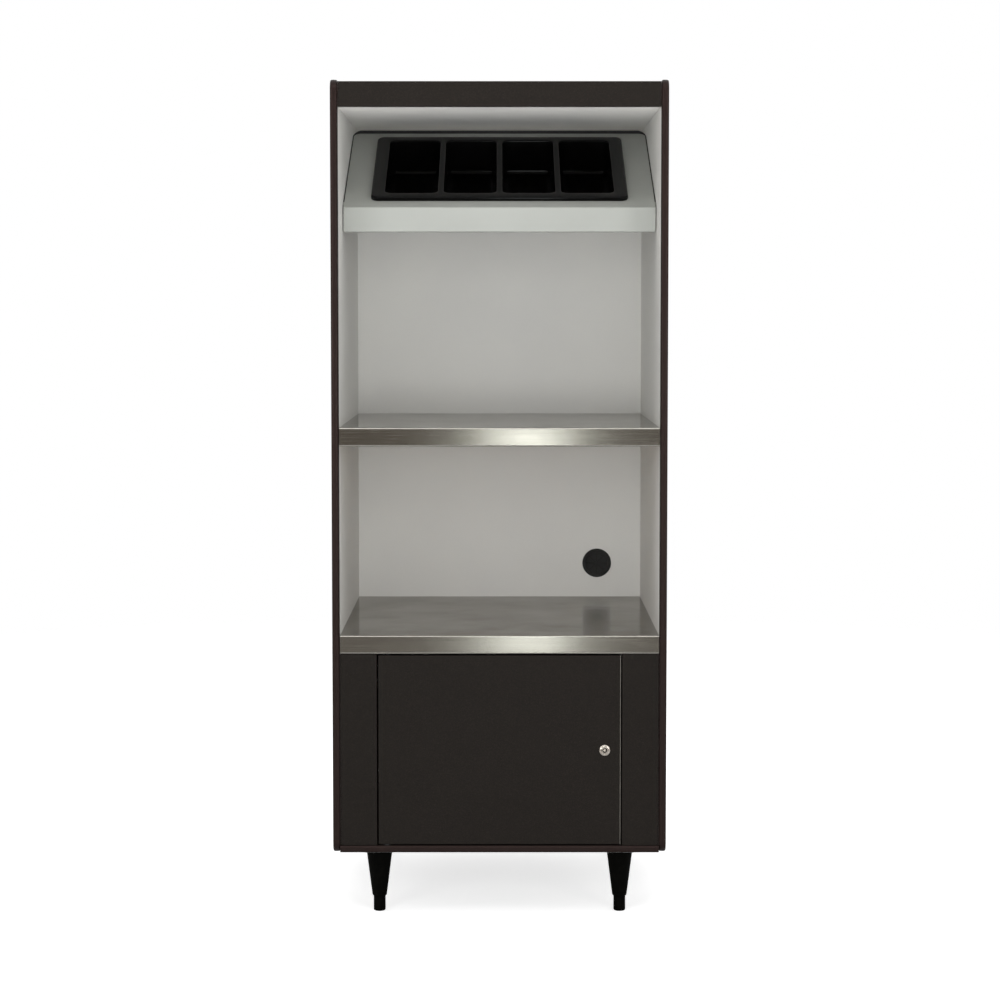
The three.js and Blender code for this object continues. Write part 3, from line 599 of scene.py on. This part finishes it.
def bottom_mould():
    """The mould on the bottom board's front edge: its crown carried straight across the front."""
    node = "bottom_edge_mould"
    low, high = span(node)
    across, out = crown(high[2] - low[2]).T
    outline = np.column_stack([low[1] + MOULD_CROWN - out, (low[2] + high[2]) / 2 + across])
    made("bottom_mould", drawn_along_x(outline, low[0], high[0]), node, (node,))


def bent_outline(corners, thickness, radius):
    """A sheet's outline, bent along its outer face's corner points: round the outside, then back inside.
    Each bend is an arc about the point that lies one outer radius inside both of its flats."""
    corners = np.asarray(corners, float)
    heading = np.diff(corners, axis=0)
    heading /= np.linalg.norm(heading, axis=1, keepdims=True)
    turn = np.sign(np.cross(heading[0], heading[1]))
    inward = turn * np.column_stack([-heading[:, 1], heading[:, 0]])
    outer, inner = [corners[:1]], [corners[:1] + thickness * inward[:1]]
    for before, after, corner in zip(range(len(heading)), range(1, len(heading)), corners[1:-1]):
        bend_highlight = math.acos(np.dot(heading[before], heading[after]))
        centre = corner - heading[before] * radius * math.tan(bend_highlight / 2) + inward[before] * radius
        start = math.degrees(math.atan2(*(-inward[before])[::-1]))
        end = start + turn * math.degrees(bend_highlight)
        outer.append(arc(centre, radius, start, end, steps=8))
        inner.append(arc(centre, radius - thickness, start, end, steps=8))
    outer.append(corners[-1:])
    inner.append(corners[-1:] + thickness * inward[-1:])
    return np.concatenate(outer), np.concatenate(inner)


def steel_skins():
    """The steel sheets over the two shelves: flat on top, down over the front and back underneath."""
    for node, finish in (("counter_skin", "counter_steel"), ("oven_shelf_skin", "stainless_steel")):
        low, high = span(node)
        corners = [
            (high[1], high[2]), (low[1], high[2]), (low[1], low[2]), (low[1] + SKIN_RETURN, low[2]),
        ]
        outer, inner = bent_outline(corners, SKIN, SKIN + SKIN_BEND)
        skin = drawn_along_x(np.concatenate([outer, inner[::-1]]), low[0], high[0])
        sheet = flat_faces(made(node.replace("skin", "sheet"), skin, node, (node,), finish))
        map_along_x(sheet.data)


DECK_LOW, DECK_HIGH = span("condiment_deck")
BEND = np.array([DECK_LOW[1], DECK_LOW[2] + FASCIA_HEIGHT])  # (y, z) where the slope meets the fascia
SLOPE_RUN = np.array([DECK_HIGH[1], DECK_HIGH[2]]) - BEND
SLOPE_LENGTH = np.linalg.norm(SLOPE_RUN)
UPHILL = SLOPE_RUN / SLOPE_LENGTH
OFF_DECK = np.array([-UPHILL[1], UPHILL[0]])
DECK_HALF = DECK_HIGH[0]
TRAY_MIDDLE = TRAY_FRONT + TRAY_SIZE[1] / 2


def on_deck(x, uphill, off):
    """Points in the deck's own frame, across, uphill from the bend and off its face, as places."""
    x, uphill, off = np.broadcast_arrays(x, uphill, off)
    plane = BEND + uphill[..., None] * UPHILL + off[..., None] * OFF_DECK
    return np.concatenate([x[..., None], plane], axis=-1)


def deck_sheet():
    """The deck: the bent sheet's outer line carried across the cabinet, narrowed by a quarter circle at
    each back corner, with the faces over the tray's cut-out left out and the sheet's thickness added."""
    node = "condiment_deck"
    corners = [
        (DECK_HIGH[1], DECK_HIGH[2]), BEND, (BEND[0], DECK_LOW[2]), (BEND[0] + DECK_RETURN, DECK_LOW[2]),
    ]
    bends, _ = bent_outline(corners, DECK_SHEET, DECK_BEND)
    opening = (BIN_SIZE[1] / 2 + TRAY_PLAY) * np.array([1, -1]) + TRAY_MIDDLE
    rounding = SLOPE_LENGTH - DECK_CORNER * (1 - np.cos(np.radians(np.linspace(0, 90, 11))))
    uphill = np.concatenate([rounding, opening])
    line = np.concatenate([BEND + uphill[:, None] * UPHILL, bends[1:]])
    reach = np.clip(uphill - (SLOPE_LENGTH - DECK_CORNER), 0, None)
    narrowing = DECK_CORNER - np.sqrt(np.clip(DECK_CORNER**2 - reach**2, 0, None))
    half = DECK_HALF - np.concatenate([narrowing, np.zeros(len(bends) - 1)])
    opening_half = (BIN_PITCH * (BIN_COUNT - 1) + BIN_SIZE[0]) / 2 + TRAY_PLAY
    column = np.array([-1, -opening_half / DECK_HALF, opening_half / DECK_HALF, 1])
    x = half[:, None] * column
    plane = np.broadcast_to(line[:, None], (*x.shape, 2))
    points = np.concatenate([x[..., None], plane], axis=-1)
    faces = grid_faces(*x.shape)
    over_opening = (len(uphill) - 2) * (len(column) - 1) + 1
    faces = np.delete(faces, over_opening, axis=0)[:, ::-1]
    sheet = made("deck_sheet", (points.reshape(-1, 3), faces.tolist()), node, (node,), closed=False)
    flat_faces(thickened(sheet, DECK_SHEET))


def deck_seal():
    """The seal round the deck: a strip with a round top, carried up one side, round the back and down the
    other. Its width and height grow round the back corners, from those of the sides to those of the
    back."""
    node = "deck_edge_seal"
    seat = DECK_HALF + FIT
    back = SLOPE_LENGTH + FIT
    corner = DECK_CORNER + FIT
    turn = np.radians(np.linspace(0, 90, 17))
    share = np.concatenate([[0], np.sin(turn) ** 2])
    x = np.concatenate([[seat], seat - corner + corner * np.cos(turn)])
    up = np.concatenate([[SEAL_START], back - corner + corner * np.sin(turn)])
    lean = np.concatenate([[0], turn])
    mirror = lambda half, sign: np.concatenate([half, sign * half[::-1]])
    x, across_x = mirror(x, -1), mirror(np.cos(lean), -1)
    up, across_up, share = mirror(up, 1), mirror(np.sin(lean), 1), mirror(share, 1)
    width = SEAL_SIDE_WIDTH + (SEAL_BACK_WIDTH - SEAL_SIDE_WIDTH) * share
    height = SEAL_SIDE_HEIGHT + (SEAL_BACK_HEIGHT - SEAL_SIDE_HEIGHT) * share
    top = np.radians(np.linspace(0, 180, 13))
    dome = np.column_stack([0.5 + 0.5 * np.cos(top), 1 - SEAL_DOME + SEAL_DOME * np.sin(top)])
    section = np.concatenate([[[1, 0]], dome, [[0, 0]]])
    across = width[:, None] * section[:, 0]
    off = -DECK_SHEET + (height + DECK_SHEET)[:, None] * section[:, 1]
    x = x[:, None] + across_x[:, None] * across
    up = up[:, None] + across_up[:, None] * across
    made("deck_seal", tube(on_deck(x, up, off)), node, (node,))


def round_the_square(columns, rows):
    """Points round a square's edge, from -1 to 1 each way, with these many steps along its sides."""
    along = np.linspace(-1, 1, columns + 1)[:-1]
    up = np.linspace(-1, 1, rows + 1)[:-1]
    sides = [
        (along, -np.ones(columns)), (np.ones(rows), up), (-along, np.ones(columns)), (-np.ones(rows), -up),
    ]
    return np.concatenate([np.column_stack(side) for side in sides])


def rounded(square, half, radius):
    """Points on a square's edge, moved to a rectangle of these half sizes with round corners: each goes to
    the nearest place on the rectangle's core, and from there straight out by the radius."""
    place = square * half
    core = np.clip(place, radius - half, half - radius)
    out = place - core
    return core + radius * out / np.linalg.norm(out, axis=-1, keepdims=True)


BIN_STEPS = (44, 88)  # points along a bin's short and long sides
PLATE_MARGIN = 9 * MM  # of the tray's flat top beyond the bins, before its rim begins


def bin_profile():
    """How far a bin's wall stands in from its mouth, and its height: a round mouth, a drafted wall, a round
    foot and a flat floor."""
    mouth = np.radians(np.linspace(0, 90 - BIN_DRAFT, 7))
    foot = np.radians(np.linspace(BIN_DRAFT, 90, 9))
    mouth_in = -MOUTH_ROUND * (1 - np.sin(mouth))
    mouth_off = TRAY_RIM - MOUTH_ROUND * (1 - np.cos(mouth))
    foot_top = BIN_FLOOR + FLOOR_ROUND
    wall_in = (TRAY_RIM - foot_top) * math.tan(math.radians(BIN_DRAFT))
    foot_in = wall_in + FLOOR_ROUND * (1 - np.cos(foot))
    foot_off = foot_top - FLOOR_ROUND * np.sin(foot)
    floor_in = foot_in[-1] + FLOOR_ROUND
    inset = np.concatenate([mouth_in, foot_in, [floor_in]])
    return inset, np.concatenate([mouth_off, foot_off, [BIN_FLOOR]])


def tray_bin(middle):
    """One bin and its share of the tray's top: rings of points from the share's edge in to the bin's mouth,
    down its wall and across its floor."""
    square = round_the_square(*BIN_STEPS)
    half = BIN_SIZE / 2
    inset, off = bin_profile()
    share = square * np.array([BIN_PITCH / 2, half[1] + PLATE_MARGIN])
    wall = [rounded(square, half - depth, max(BIN_CORNER - depth, BIN_LEAST_CORNER)) for depth in inset]
    plane = np.stack([share, *wall])
    height = np.concatenate([[TRAY_RIM], off])[:, None]
    points = on_deck(plane[..., 0] + middle, plane[..., 1] + TRAY_MIDDLE, height)
    rings, count = plane.shape[:2]
    faces = grid_faces(rings, count, closed=True).tolist()
    bottom = (np.arange(count) + (rings - 1) * count).tolist()
    return points.reshape(-1, 3), [*faces, bottom]


def tray_rim():
    """The tray's rim: rings from the edge of the bins' shares out over a round edge and down to the
    deck."""
    square = round_the_square(BIN_COUNT * BIN_STEPS[0], BIN_STEPS[1])
    shares = np.array([BIN_COUNT * BIN_PITCH / 2, BIN_SIZE[1] / 2 + PLATE_MARGIN])
    edge = np.radians(np.linspace(0, 90, 9))
    inset = np.concatenate([TRAY_ROUND * (1 - np.sin(edge)), [0]])
    off = np.concatenate([[TRAY_RIM], TRAY_RIM - TRAY_ROUND * (1 - np.cos(edge)), [FIT]])
    rim = [rounded(square, TRAY_SIZE / 2 - depth, TRAY_CORNER - depth) for depth in inset]
    plane = np.stack([square * shares, *rim])
    points = on_deck(plane[..., 0], plane[..., 1] + TRAY_MIDDLE, off[:, None])
    return points.reshape(-1, 3), grid_faces(*plane.shape[:2], closed=True)[:, ::-1].tolist()


def condiment_tray():
    """The tray: four bins and a rim in one moulded sheet, thickened downwards."""
    node = "condiment_tray"
    middles = (np.arange(BIN_COUNT) - (BIN_COUNT - 1) / 2) * BIN_PITCH
    skin = joined(*(tray_bin(middle) for middle in middles), tray_rim())
    thickened(made("tray_moulding", skin, node, (node,), closed=False), TRAY_WALL)


def full_turn(steps):
    """Angles all the way round, in equal steps."""
    return np.linspace(0, 2 * np.pi, steps, endpoint=False)


def about(axis, radius, along, angle):
    """Places at a radius and an angle about an axis and a distance along it. The axis points up, down, to
    the front or to the back."""
    first, second = np.cos(angle) * radius, np.sin(angle) * radius
    third = np.broadcast_to(along, first.shape)
    place = {
        "up": (first, second, third), "down": (first, second, -third),
        "front": (first, -third, second), "back": (first, third, second),
    }
    return np.stack(place[axis], axis=-1)


def turned(profile, centre, axis, ring=False):
    """A profile of (radius, distance along the axis) points, turned about an axis through a centre. A
    ring's profile runs back to its start, and any other skin is closed by a flat at each end."""
    radius, along = np.asarray(profile).T[..., None]
    points = about(axis, radius, along, full_turn(64)) + np.asarray(centre)
    if not ring:
        return tube(points)
    points = np.concatenate([points, points[:1]])
    return points.reshape(-1, 3), grid_faces(*points.shape[:2], closed=True).tolist()


LEG_SHOULDER = 24 * MM  # the leg's radius at its top
LEG_ANKLE = 13.2 * MM  # and at its lower end
LEG_ROUND = 1.4 * MM
LEG_BROW = 1.5 * MM  # from the shoulder's faces in to the middle of its round
FERRULE = 7 * MM  # the ferrule line's height above the leg's lower end
FERRULE_WIDTH = 1.6 * MM
FERRULE_SLANT = 0.4 * MM
FERRULE_DEPTH = 0.5 * MM
FOOT_TOE = 2.5 * MM
FOOT_BROW = 1 * MM
FOOT_STEM = 5 * MM
LEG_CAP, SOLE_CAP, STEM_CAP = 8 * MM, 4 * MM, 2 * MM  # radii of the flats that close the turned skins


def legs_and_feet():
    """Tapered legs with a rounded shoulder and a ferrule line, and feet with a round toe and a stem."""
    for place in LEG_PLACES:
        low, high = span(f"leg_plate_{place}")
        middle = [*((low + high) / 2)[:2], 0]
        leg_low, _ = span(f"leg_{place}")
        top, neck = low[2] - FIT, leg_low[2]
        groove = [0, FERRULE_SLANT, FERRULE_WIDTH - FERRULE_SLANT, FERRULE_WIDTH]
        line = neck + FERRULE + np.array(groove)
        brow = top - 2 * LEG_BROW
        heights = [line[0], line[-1], brow]
        below, above, widest = np.interp(heights, [neck, top], [LEG_ANKLE, LEG_SHOULDER])
        sunk = below - FERRULE_DEPTH
        leg = np.concatenate([
            [[LEG_CAP, neck], [LEG_ANKLE - LEG_ROUND, neck]],
            arc((LEG_ANKLE - LEG_ROUND, neck + LEG_ROUND), LEG_ROUND, -90, -6, steps=5),
            np.column_stack([[below, sunk, sunk, above], line]),
            [[widest, brow]],
            arc((LEG_SHOULDER - LEG_BROW, top - LEG_BROW), LEG_ROUND, 0, 90, steps=5),
            [[LEG_CAP, top]],
        ])
        made(f"leg_{place}_taper", turned(leg, middle, "up"), f"leg_{place}", (f"leg_{place}",))
        foot_low, foot_high = span(f"foot_{place}")
        sole, crest, tip = foot_low[2], neck - FIT, foot_high[2]
        radius = (foot_high[0] - foot_low[0]) / 2
        foot = np.concatenate([
            [[SOLE_CAP, sole]],
            arc((radius - FOOT_TOE, sole + FOOT_TOE), FOOT_TOE, -90, 0, steps=6),
            arc((radius - FOOT_BROW, crest - FOOT_BROW), FOOT_BROW, 0, 90, steps=4),
            [[FOOT_STEM, crest], [FOOT_STEM, tip], [STEM_CAP, tip]],
        ])
        made(f"foot_{place}_pad", turned(foot, middle, "up"), f"foot_{place}", (f"foot_{place}",))


LOCK_FLANGE = 10.2 * MM  # radii of the lock's flange, bore and barrel
LOCK_BORE = 6.3 * MM
LOCK_BARREL = 8 * MM
LOCK_DOME = 1.8 * MM
LOCK_SEAT = 2.1 * MM  # from the flange's front to its underside
LOCK_MOUTH = 0.3 * MM  # from the flange's front to the bore's edge
PLUG = 6 * MM  # radii of the plug, its shank, its keyway's outer wall and the post in it
PLUG_SHANK = 3.5 * MM
KEYWAY = 4.6 * MM
POST = 2.4 * MM
POST_PIT = 1.2 * MM
PIT_FLOOR = 0.7 * MM
SHANK_CAP = 1 * MM
PLUG_EDGE = 0.6 * MM
KEYWAY_EDGE = 0.2 * MM
KEYWAY_DEPTH = 5 * MM
POST_EDGE = 0.5 * MM


def cam_lock():
    """The lock's face: a domed flange round a plug that has a ring-shaped keyway about a centre post. The
    dome is a quarter of an ellipse."""
    low, high = span("lock_body")
    across, _, height = (low + high) / 2
    front = low[1]
    depth = high[1] - front
    rise = np.radians(np.linspace(0, 88, 9))
    reach = LOCK_BORE + (LOCK_FLANGE - LOCK_BORE) * np.cos(rise)
    body = np.concatenate([
        [[LOCK_BORE, -depth], [LOCK_BARREL, -depth], [LOCK_BARREL, -LOCK_SEAT], [LOCK_FLANGE, -LOCK_SEAT]],
        np.column_stack([reach, LOCK_DOME * (np.sin(rise) - 1)]),
        [[LOCK_BORE, -LOCK_MOUTH]],
    ])
    flange = turned(body, [across, front, height], "front", ring=True)
    made("lock_flange", flange, "lock_body", ("lock_body",))

    plug_low, plug_high = span("lock_plug")
    face = plug_low[1]
    tail, shoulder = plug_high[1] - face, high[1] + FIT - face
    plug = np.concatenate([
        [[SHANK_CAP, -tail], [PLUG_SHANK, -tail], [PLUG_SHANK, -shoulder], [PLUG, -shoulder]],
        [[PLUG, -PLUG_EDGE]],
        arc((PLUG - PLUG_EDGE, -PLUG_EDGE), PLUG_EDGE, 0, 90, steps=4),
        [[KEYWAY + KEYWAY_EDGE, 0], [KEYWAY, -KEYWAY_EDGE], [KEYWAY, -KEYWAY_DEPTH]],
        [[POST, -KEYWAY_DEPTH], [POST, -POST_EDGE]],
        arc((POST - POST_EDGE, -POST_EDGE), POST_EDGE, 0, 90, steps=4),
        [[POST_PIT, 0], [PIT_FLOOR, -POST_EDGE]],
    ])
    made("lock_plug_face", turned(plug, [across, face, height], "front"), "lock_plug", ("lock_plug",))


GROMMET_LIP = 7.5 * MM  # from the grommet's rim in to its bore
GROMMET_FLANGE = 5 * MM  # and in to its sleeve
FLANGE_DEPTH = 2 * MM
RIM_ROUND = 1.2 * MM
RIM_UNDERCUT = 0.2 * MM
MOUTH_EDGE = 1 * MM
WEB_DEPTH = 4.5 * MM  # from the grommet's front to its web
WEB_BACK = 2 * MM  # from the web's back to the sleeve's end
WEB_HUB = 0.5 * MM
PETAL_COUNT = 8
PETAL_GAP = 2.4 * MM
PETAL_GROOVE = 0.7 * MM
PETAL_ROOT = 1.5 * MM  # from the middle out to where the grooves begin
PETAL_END = 0.7 * MM  # from the bore in to where they end


def lead_grommet():
    """The grommet: a round-edged ring with a web across it, cut into petals by grooves that run out from
    the middle. The web is lowered where the sine of half the count of petals times the angle is near
    zero."""
    node = "lead_grommet"
    low, high = span(node)
    across, _, height = (low + high) / 2
    rim, depth = (high[0] - low[0]) / 2, high[1] - low[1]
    bore, sleeve = rim - GROMMET_LIP, rim - GROMMET_FLANGE
    petals = np.linspace(bore - MOUTH_EDGE, WEB_HUB, 10)
    profile = np.concatenate([
        [[WEB_HUB, WEB_BACK - depth], [bore, WEB_BACK - depth], [bore, -depth], [sleeve, -depth]],
        [[sleeve, -FLANGE_DEPTH], [rim - RIM_UNDERCUT, -FLANGE_DEPTH]],
        arc((rim - RIM_ROUND, -RIM_ROUND), RIM_ROUND, 0, 90, steps=6),
        arc((bore + MOUTH_EDGE, -MOUTH_EDGE), MOUTH_EDGE, 90, 180, steps=5),
        [[bore, -WEB_DEPTH], [bore - MOUTH_EDGE / 2, -WEB_DEPTH]],
        np.column_stack([petals, np.full(len(petals), -WEB_DEPTH)]),
    ])
    radius, along = profile.T[..., None]
    angle = full_turn(192)
    cut = (along == -WEB_DEPTH) & (radius < bore - PETAL_END) & (radius > PETAL_ROOT)
    groove = PETAL_GROOVE * np.exp(-((np.sin(PETAL_COUNT / 2 * angle) * radius / PETAL_GAP) ** 2))
    points = about("front", radius, along - np.where(cut, groove, 0), angle)
    made("grommet_ring", tube(points + [across, low[1], height]), node, (node,), sharp=50)


SCREW_RISE = 1.4 * MM
SCREW_EDGE = 0.35  # the share of that rise that is the head's upright edge
CROSS_HALF, CROSS_REACH = 0.13, 0.6  # half the width of the cross and its reach, as shares of the radius
CROSS_DEPTH = 0.5  # as a share of the rise
BACK_SCREW = 4 * MM
BACK_SCREWS = (4, 8)  # across the back board and up it
BACK_MARGIN = 14 * MM
PLATE_SCREW = 3.2 * MM
PLATE_INSET = 5 * MM


def screw_head(centre, axis, radius):
    """A screw's head: a dome over an upright edge, with a cross sunk in it. The height at a radius and an
    angle is the dome's, the root of one less a share of the radius squared, lowered within the cross."""
    share = np.array([1, 1, 0.97, 0.86, 0.7, 0.55, 0.42, 0.28, 0.12])[:, None]  # of the radius, inwards
    angle = full_turn(24)
    dome = np.sqrt(1 - 0.8 * share**2)
    dome = (dome - dome[0]) / (dome.max() - dome[0])
    off_line = share * np.minimum(abs(np.cos(angle)), abs(np.sin(angle)))
    in_cross = (off_line < CROSS_HALF) & (share < CROSS_REACH)
    height = SCREW_RISE * (SCREW_EDGE + (1 - SCREW_EDGE) * dome - np.where(in_cross, CROSS_DEPTH, 0))
    height[0] = 0
    return tube(about(axis, radius * share, height, angle) + np.asarray(centre))


def screws():
    """Screws round the back board's edge, and four in each leg's plate."""
    low, high = span("back_panel")
    first, last = low + BACK_MARGIN, high - BACK_MARGIN
    across = np.linspace(first[0], last[0], BACK_SCREWS[0])
    up = np.linspace(first[2], last[2], BACK_SCREWS[1])
    edge = [(x, z) for x in across for z in up if x in (across[0], across[-1]) or z in (up[0], up[-1])]
    heads = joined(*(screw_head([x, high[1], z], "back", BACK_SCREW) for x, z in edge))
    made("back_screws", heads, "back_panel", finish="zinc_plate")
    for place in LEG_PLACES:
        node = f"leg_plate_{place}"
        low, high = span(node)
        first, last = low + PLATE_INSET, high - PLATE_INSET
        corners = [(x, y) for x in (first[0], last[0]) for y in (first[1], last[1])]
        heads = joined(*(screw_head([x, y, low[2]], "down", PLATE_SCREW) for x, y in corners))
        made(f"{node}_screws", heads, node)


def door_panel():
    """The door, with a thin band down its free edge, painted pale as a painted highlight."""
    node = "door"
    low, high = span(node)
    seam = high[0] - BAND
    broken_edges(made("door_board", box_skin(low, [seam, *high[1:]]), node, (node,)), BOARD_EDGE)
    band = made("door_edge_band", box_skin([seam, *low[1:]], high), node, finish="edge_band_highlight")
    broken_edges(band, BAND_EDGE)


def boards():
    """Plain boards, and the two shelves' cores, whose edges follow the bends of the steel."""
    for node in (
        "header_rail", "top_panel", "ceiling_panel", "bottom_panel", "left_stile", "right_stile",
    ):
        board(node)
    for node in ("counter_core", "oven_shelf_core"):
        board(node, width=SKIN_BEND)


def dress_the_rest():
    """Nodes that keep their own shape take the finish of their slot, apart from those that show in the gaps
    round the door, which take dark finishes in place of their slot's, as painted shade in the gaps."""
    # painted shade: dark finishes for the pieces seen in the gaps round the door
    gap_shade_finishes = {
        "door_stop": "charcoal_laminate",
        "lower_pivot_pin": "black_oxide",
        "upper_pivot_pin": "black_oxide",
    }
    for name, node in frame["nodes"].items():
        if node.hide_render:
            continue
        finish = FINISHES[gap_shade_finishes.get(name, SLOT[name])]
        if node.material_slots:
            node.material_slots[0].material = finish
        else:
            node.data.materials.append(finish)


FLOOR_RINGS = (0.05, 1.0, 3.0, 9.0)  # radii of the floor's rings of points
FLOOR_SIDES = 96
FLOOR_SHADE = (0.75, 0.75, 0.75, 1)
FLOOR_FADE = (1.2, 4.0)  # from where the floor fades into the white world, and where it is gone
FLOOR_LIFT = 0.66  # how much lighter than its shade the camera sees the floor
FLOOR_BEHIND = (0.0, 0.6)  # from where gloss sees the floor lifted, and where it is wholly so
ROOM_LIGHT = 0.53  # the world's light on the cabinet
FRONT_GLOSS = 0.12  # the room in front of the cabinet, as its gloss shows it
FRONT_TINT = (1, 0.74, 0.5, 1)  # that room is dim and warm
WHITE_BEHIND = (-0.3, 0.3)  # how far back a direction points where that room gives way to white
WHITE_ABOVE = (0.2, 0.7)  # and how far up
FRAME_WIDTH = 1000  # pixels
FOCAL_LENGTH = 2392.5  # pixels
SENSOR_WIDTH = 36
CAMERA_PLACE = (0.0009, -4.6349, 1.1109)
CAMERA_DIP = 0.065  # radians below level
CAMERA_SHIFT = -0.035


def floor():
    """A pale floor, a flat disc of rings of points, that fades into the white world. The camera and glass
    see it lifted towards white, and so does gloss behind the cabinet."""
    disc = about("up", np.array(FLOOR_RINGS)[:, None], 0.0, full_turn(FLOOR_SIDES))
    faces = grid_faces(*disc.shape[:2], closed=True)[:, ::-1].tolist()
    mesh = bpy.data.meshes.new("floor")
    mesh.from_pydata(disc.reshape(-1, 3).tolist(), [], [*faces, list(range(FLOOR_SIDES))])
    piece = bpy.data.objects.new("floor", mesh)
    bpy.context.collection.objects.link(piece)
    paint = Finish("floor_paint", FLOOR_SHADE, 0.9)
    mesh.materials.append(paint.material)
    distance = paint.add("ShaderNodeVectorMath", {"operation": "LENGTH"}, Vector=paint.object_place)
    fade = paint.between(distance.outputs["Value"], 0.0, 1.0, *FLOOR_FADE)
    back = paint.add("ShaderNodeSeparateXYZ", Vector=paint.object_place).outputs["Y"]
    behind = paint.between(back, 0.0, 1.0, *FLOOR_BEHIND)
    path = paint.add("ShaderNodeLightPath").outputs
    mirrored = paint.between(path["Is Glossy Ray"], 0.0, behind, 0.0, 1.0)
    seen = paint.greater(paint.greater(path["Is Camera Ray"], path["Is Transmission Ray"]), mirrored)
    lift = paint.add("ShaderNodeEmission", Strength=paint.between(seen, 0.0, FLOOR_LIFT, 0.0, 1.0))
    pale = paint.add("ShaderNodeAddShader")
    for source, socket in zip((paint.shader, lift), pale.inputs):
        paint.link(source.outputs[0], socket)
    clear = paint.add("ShaderNodeBsdfTransparent")
    faded = paint.mixed(fade, pale.outputs["Shader"], clear.outputs["BSDF"])
    paint.set(paint.tree.nodes["Material Output"], Surface=faded)


def white_world():
    """A white world to the camera and through glass, which gloss shows behind and above the cabinet, with a
    dim room in front of it. Its light on the cabinet is even."""
    world = bpy.data.worlds.new("studio")
    bpy.context.scene.world = world
    world.use_nodes = True
    sky = Nodes(world.node_tree)

    def glow(strength, colour=(1, 1, 1, 1)):
        return sky.add("ShaderNodeBackground", Color=colour, Strength=strength).outputs["Background"]

    path = sky.add("ShaderNodeLightPath").outputs
    direction = sky.add("ShaderNodeTexCoord").outputs["Generated"]
    heading = sky.add("ShaderNodeSeparateXYZ", Vector=direction).outputs
    behind = sky.between(heading["Y"], 0.0, 1.0, *WHITE_BEHIND)
    above = sky.between(heading["Z"], 0.0, 1.0, *WHITE_ABOVE)
    white = glow(1.0)
    mirrored = sky.mixed(sky.greater(behind, above), glow(FRONT_GLOSS, FRONT_TINT), white)
    room = sky.mixed(path["Is Glossy Ray"], glow(ROOM_LIGHT), mirrored)
    shown = sky.greater(path["Is Camera Ray"], path["Is Transmission Ray"])
    sky.set(sky.tree.nodes["World Output"], Surface=sky.mixed(shown, room, white))


def lamp(name, place, aim, size, watts, spread=180):
    """A soft lamp that faces its aim, with its size as (width, height) and its spread in degrees."""
    data = bpy.data.lights.new(name, "AREA")
    data.shape = "RECTANGLE"
    data.size, data.size_y = size
    data.energy = watts
    data.spread = math.radians(spread)
    holder = bpy.data.objects.new(name, data)
    holder.location = place
    holder.rotation_euler = (Vector(aim) - Vector(place)).to_track_quat("-Z", "Y").to_euler()
    holder.visible_camera = False
    bpy.context.collection.objects.link(holder)
    return holder


def lamps():
    """Two soft boxes beside the camera, a narrow cool one that shows in the steel, one overhead that lights
    its bends, fills for the ceiling over the deck and for the bays, which leave no gloss, and fills for the
    sides and the back."""
    lamp("left_box", (-2.0, -3.9, 1.25), aim=(0, 0, 0.95), size=(1.4, 1.6), watts=43)
    lamp("right_box", (2.0, -3.9, 1.25), aim=(0, 0, 0.95), size=(1.4, 1.6), watts=38)
    strip = lamp("strip", (0.08, -3.0, 0.62), aim=(0, 0, 0.9), size=(0.2, 1.2), watts=1.7, spread=100)
    strip.data.color = (0.93, 1, 1)
    lamp("overhead", (0, -1.9, 2.9), aim=(0, -0.3, 0.8), size=(2.2, 0.7), watts=9)
    ceiling = lamp("low_fill", (0, -2.4, 0.4), aim=(0, 0, 2.0), size=(1.6, 0.5), watts=2.4, spread=30)
    bays = lamp("bay_fill", (0, -3.0, 0.85), aim=(0, 0, 1.3), size=(1.6, 0.6), watts=2.6, spread=70)
    for fill in (ceiling, bays):
        fill.visible_glossy = False
    lamp("left_fill", (-3.2, -0.6, 1.8), aim=(0, 0, 0.8), size=(1.2, 1.8), watts=10)
    lamp("right_fill", (3.2, -0.6, 1.8), aim=(0, 0, 0.8), size=(1.2, 1.8), watts=10)
    lamp("back_fill", (0, 3.4, 2.2), aim=(0, 0, 0.9), size=(2.0, 1.6), watts=30)


def camera():
    """The camera at the photograph's angle."""
    data = bpy.data.cameras.new("camera")
    data.sensor_width = SENSOR_WIDTH
    data.lens = FOCAL_LENGTH * SENSOR_WIDTH / FRAME_WIDTH
    data.shift_y = CAMERA_SHIFT
    viewer = bpy.data.objects.new("camera", data)
    viewer.location = CAMERA_PLACE
    viewer.rotation_euler = (math.pi / 2 - CAMERA_DIP, 0, 0)
    bpy.context.collection.objects.link(viewer)
    bpy.context.scene.camera = viewer


bpy.context.scene.view_settings.view_transform = "Standard"
floor()
white_world()
lamps()
camera()
side_panels_and_moulds()
boards()
bottom_mould()
steel_skins()
deck_sheet()
deck_seal()
condiment_tray()
door_panel()
cam_lock()
legs_and_feet()
lead_grommet()
screws()
dress_the_rest()
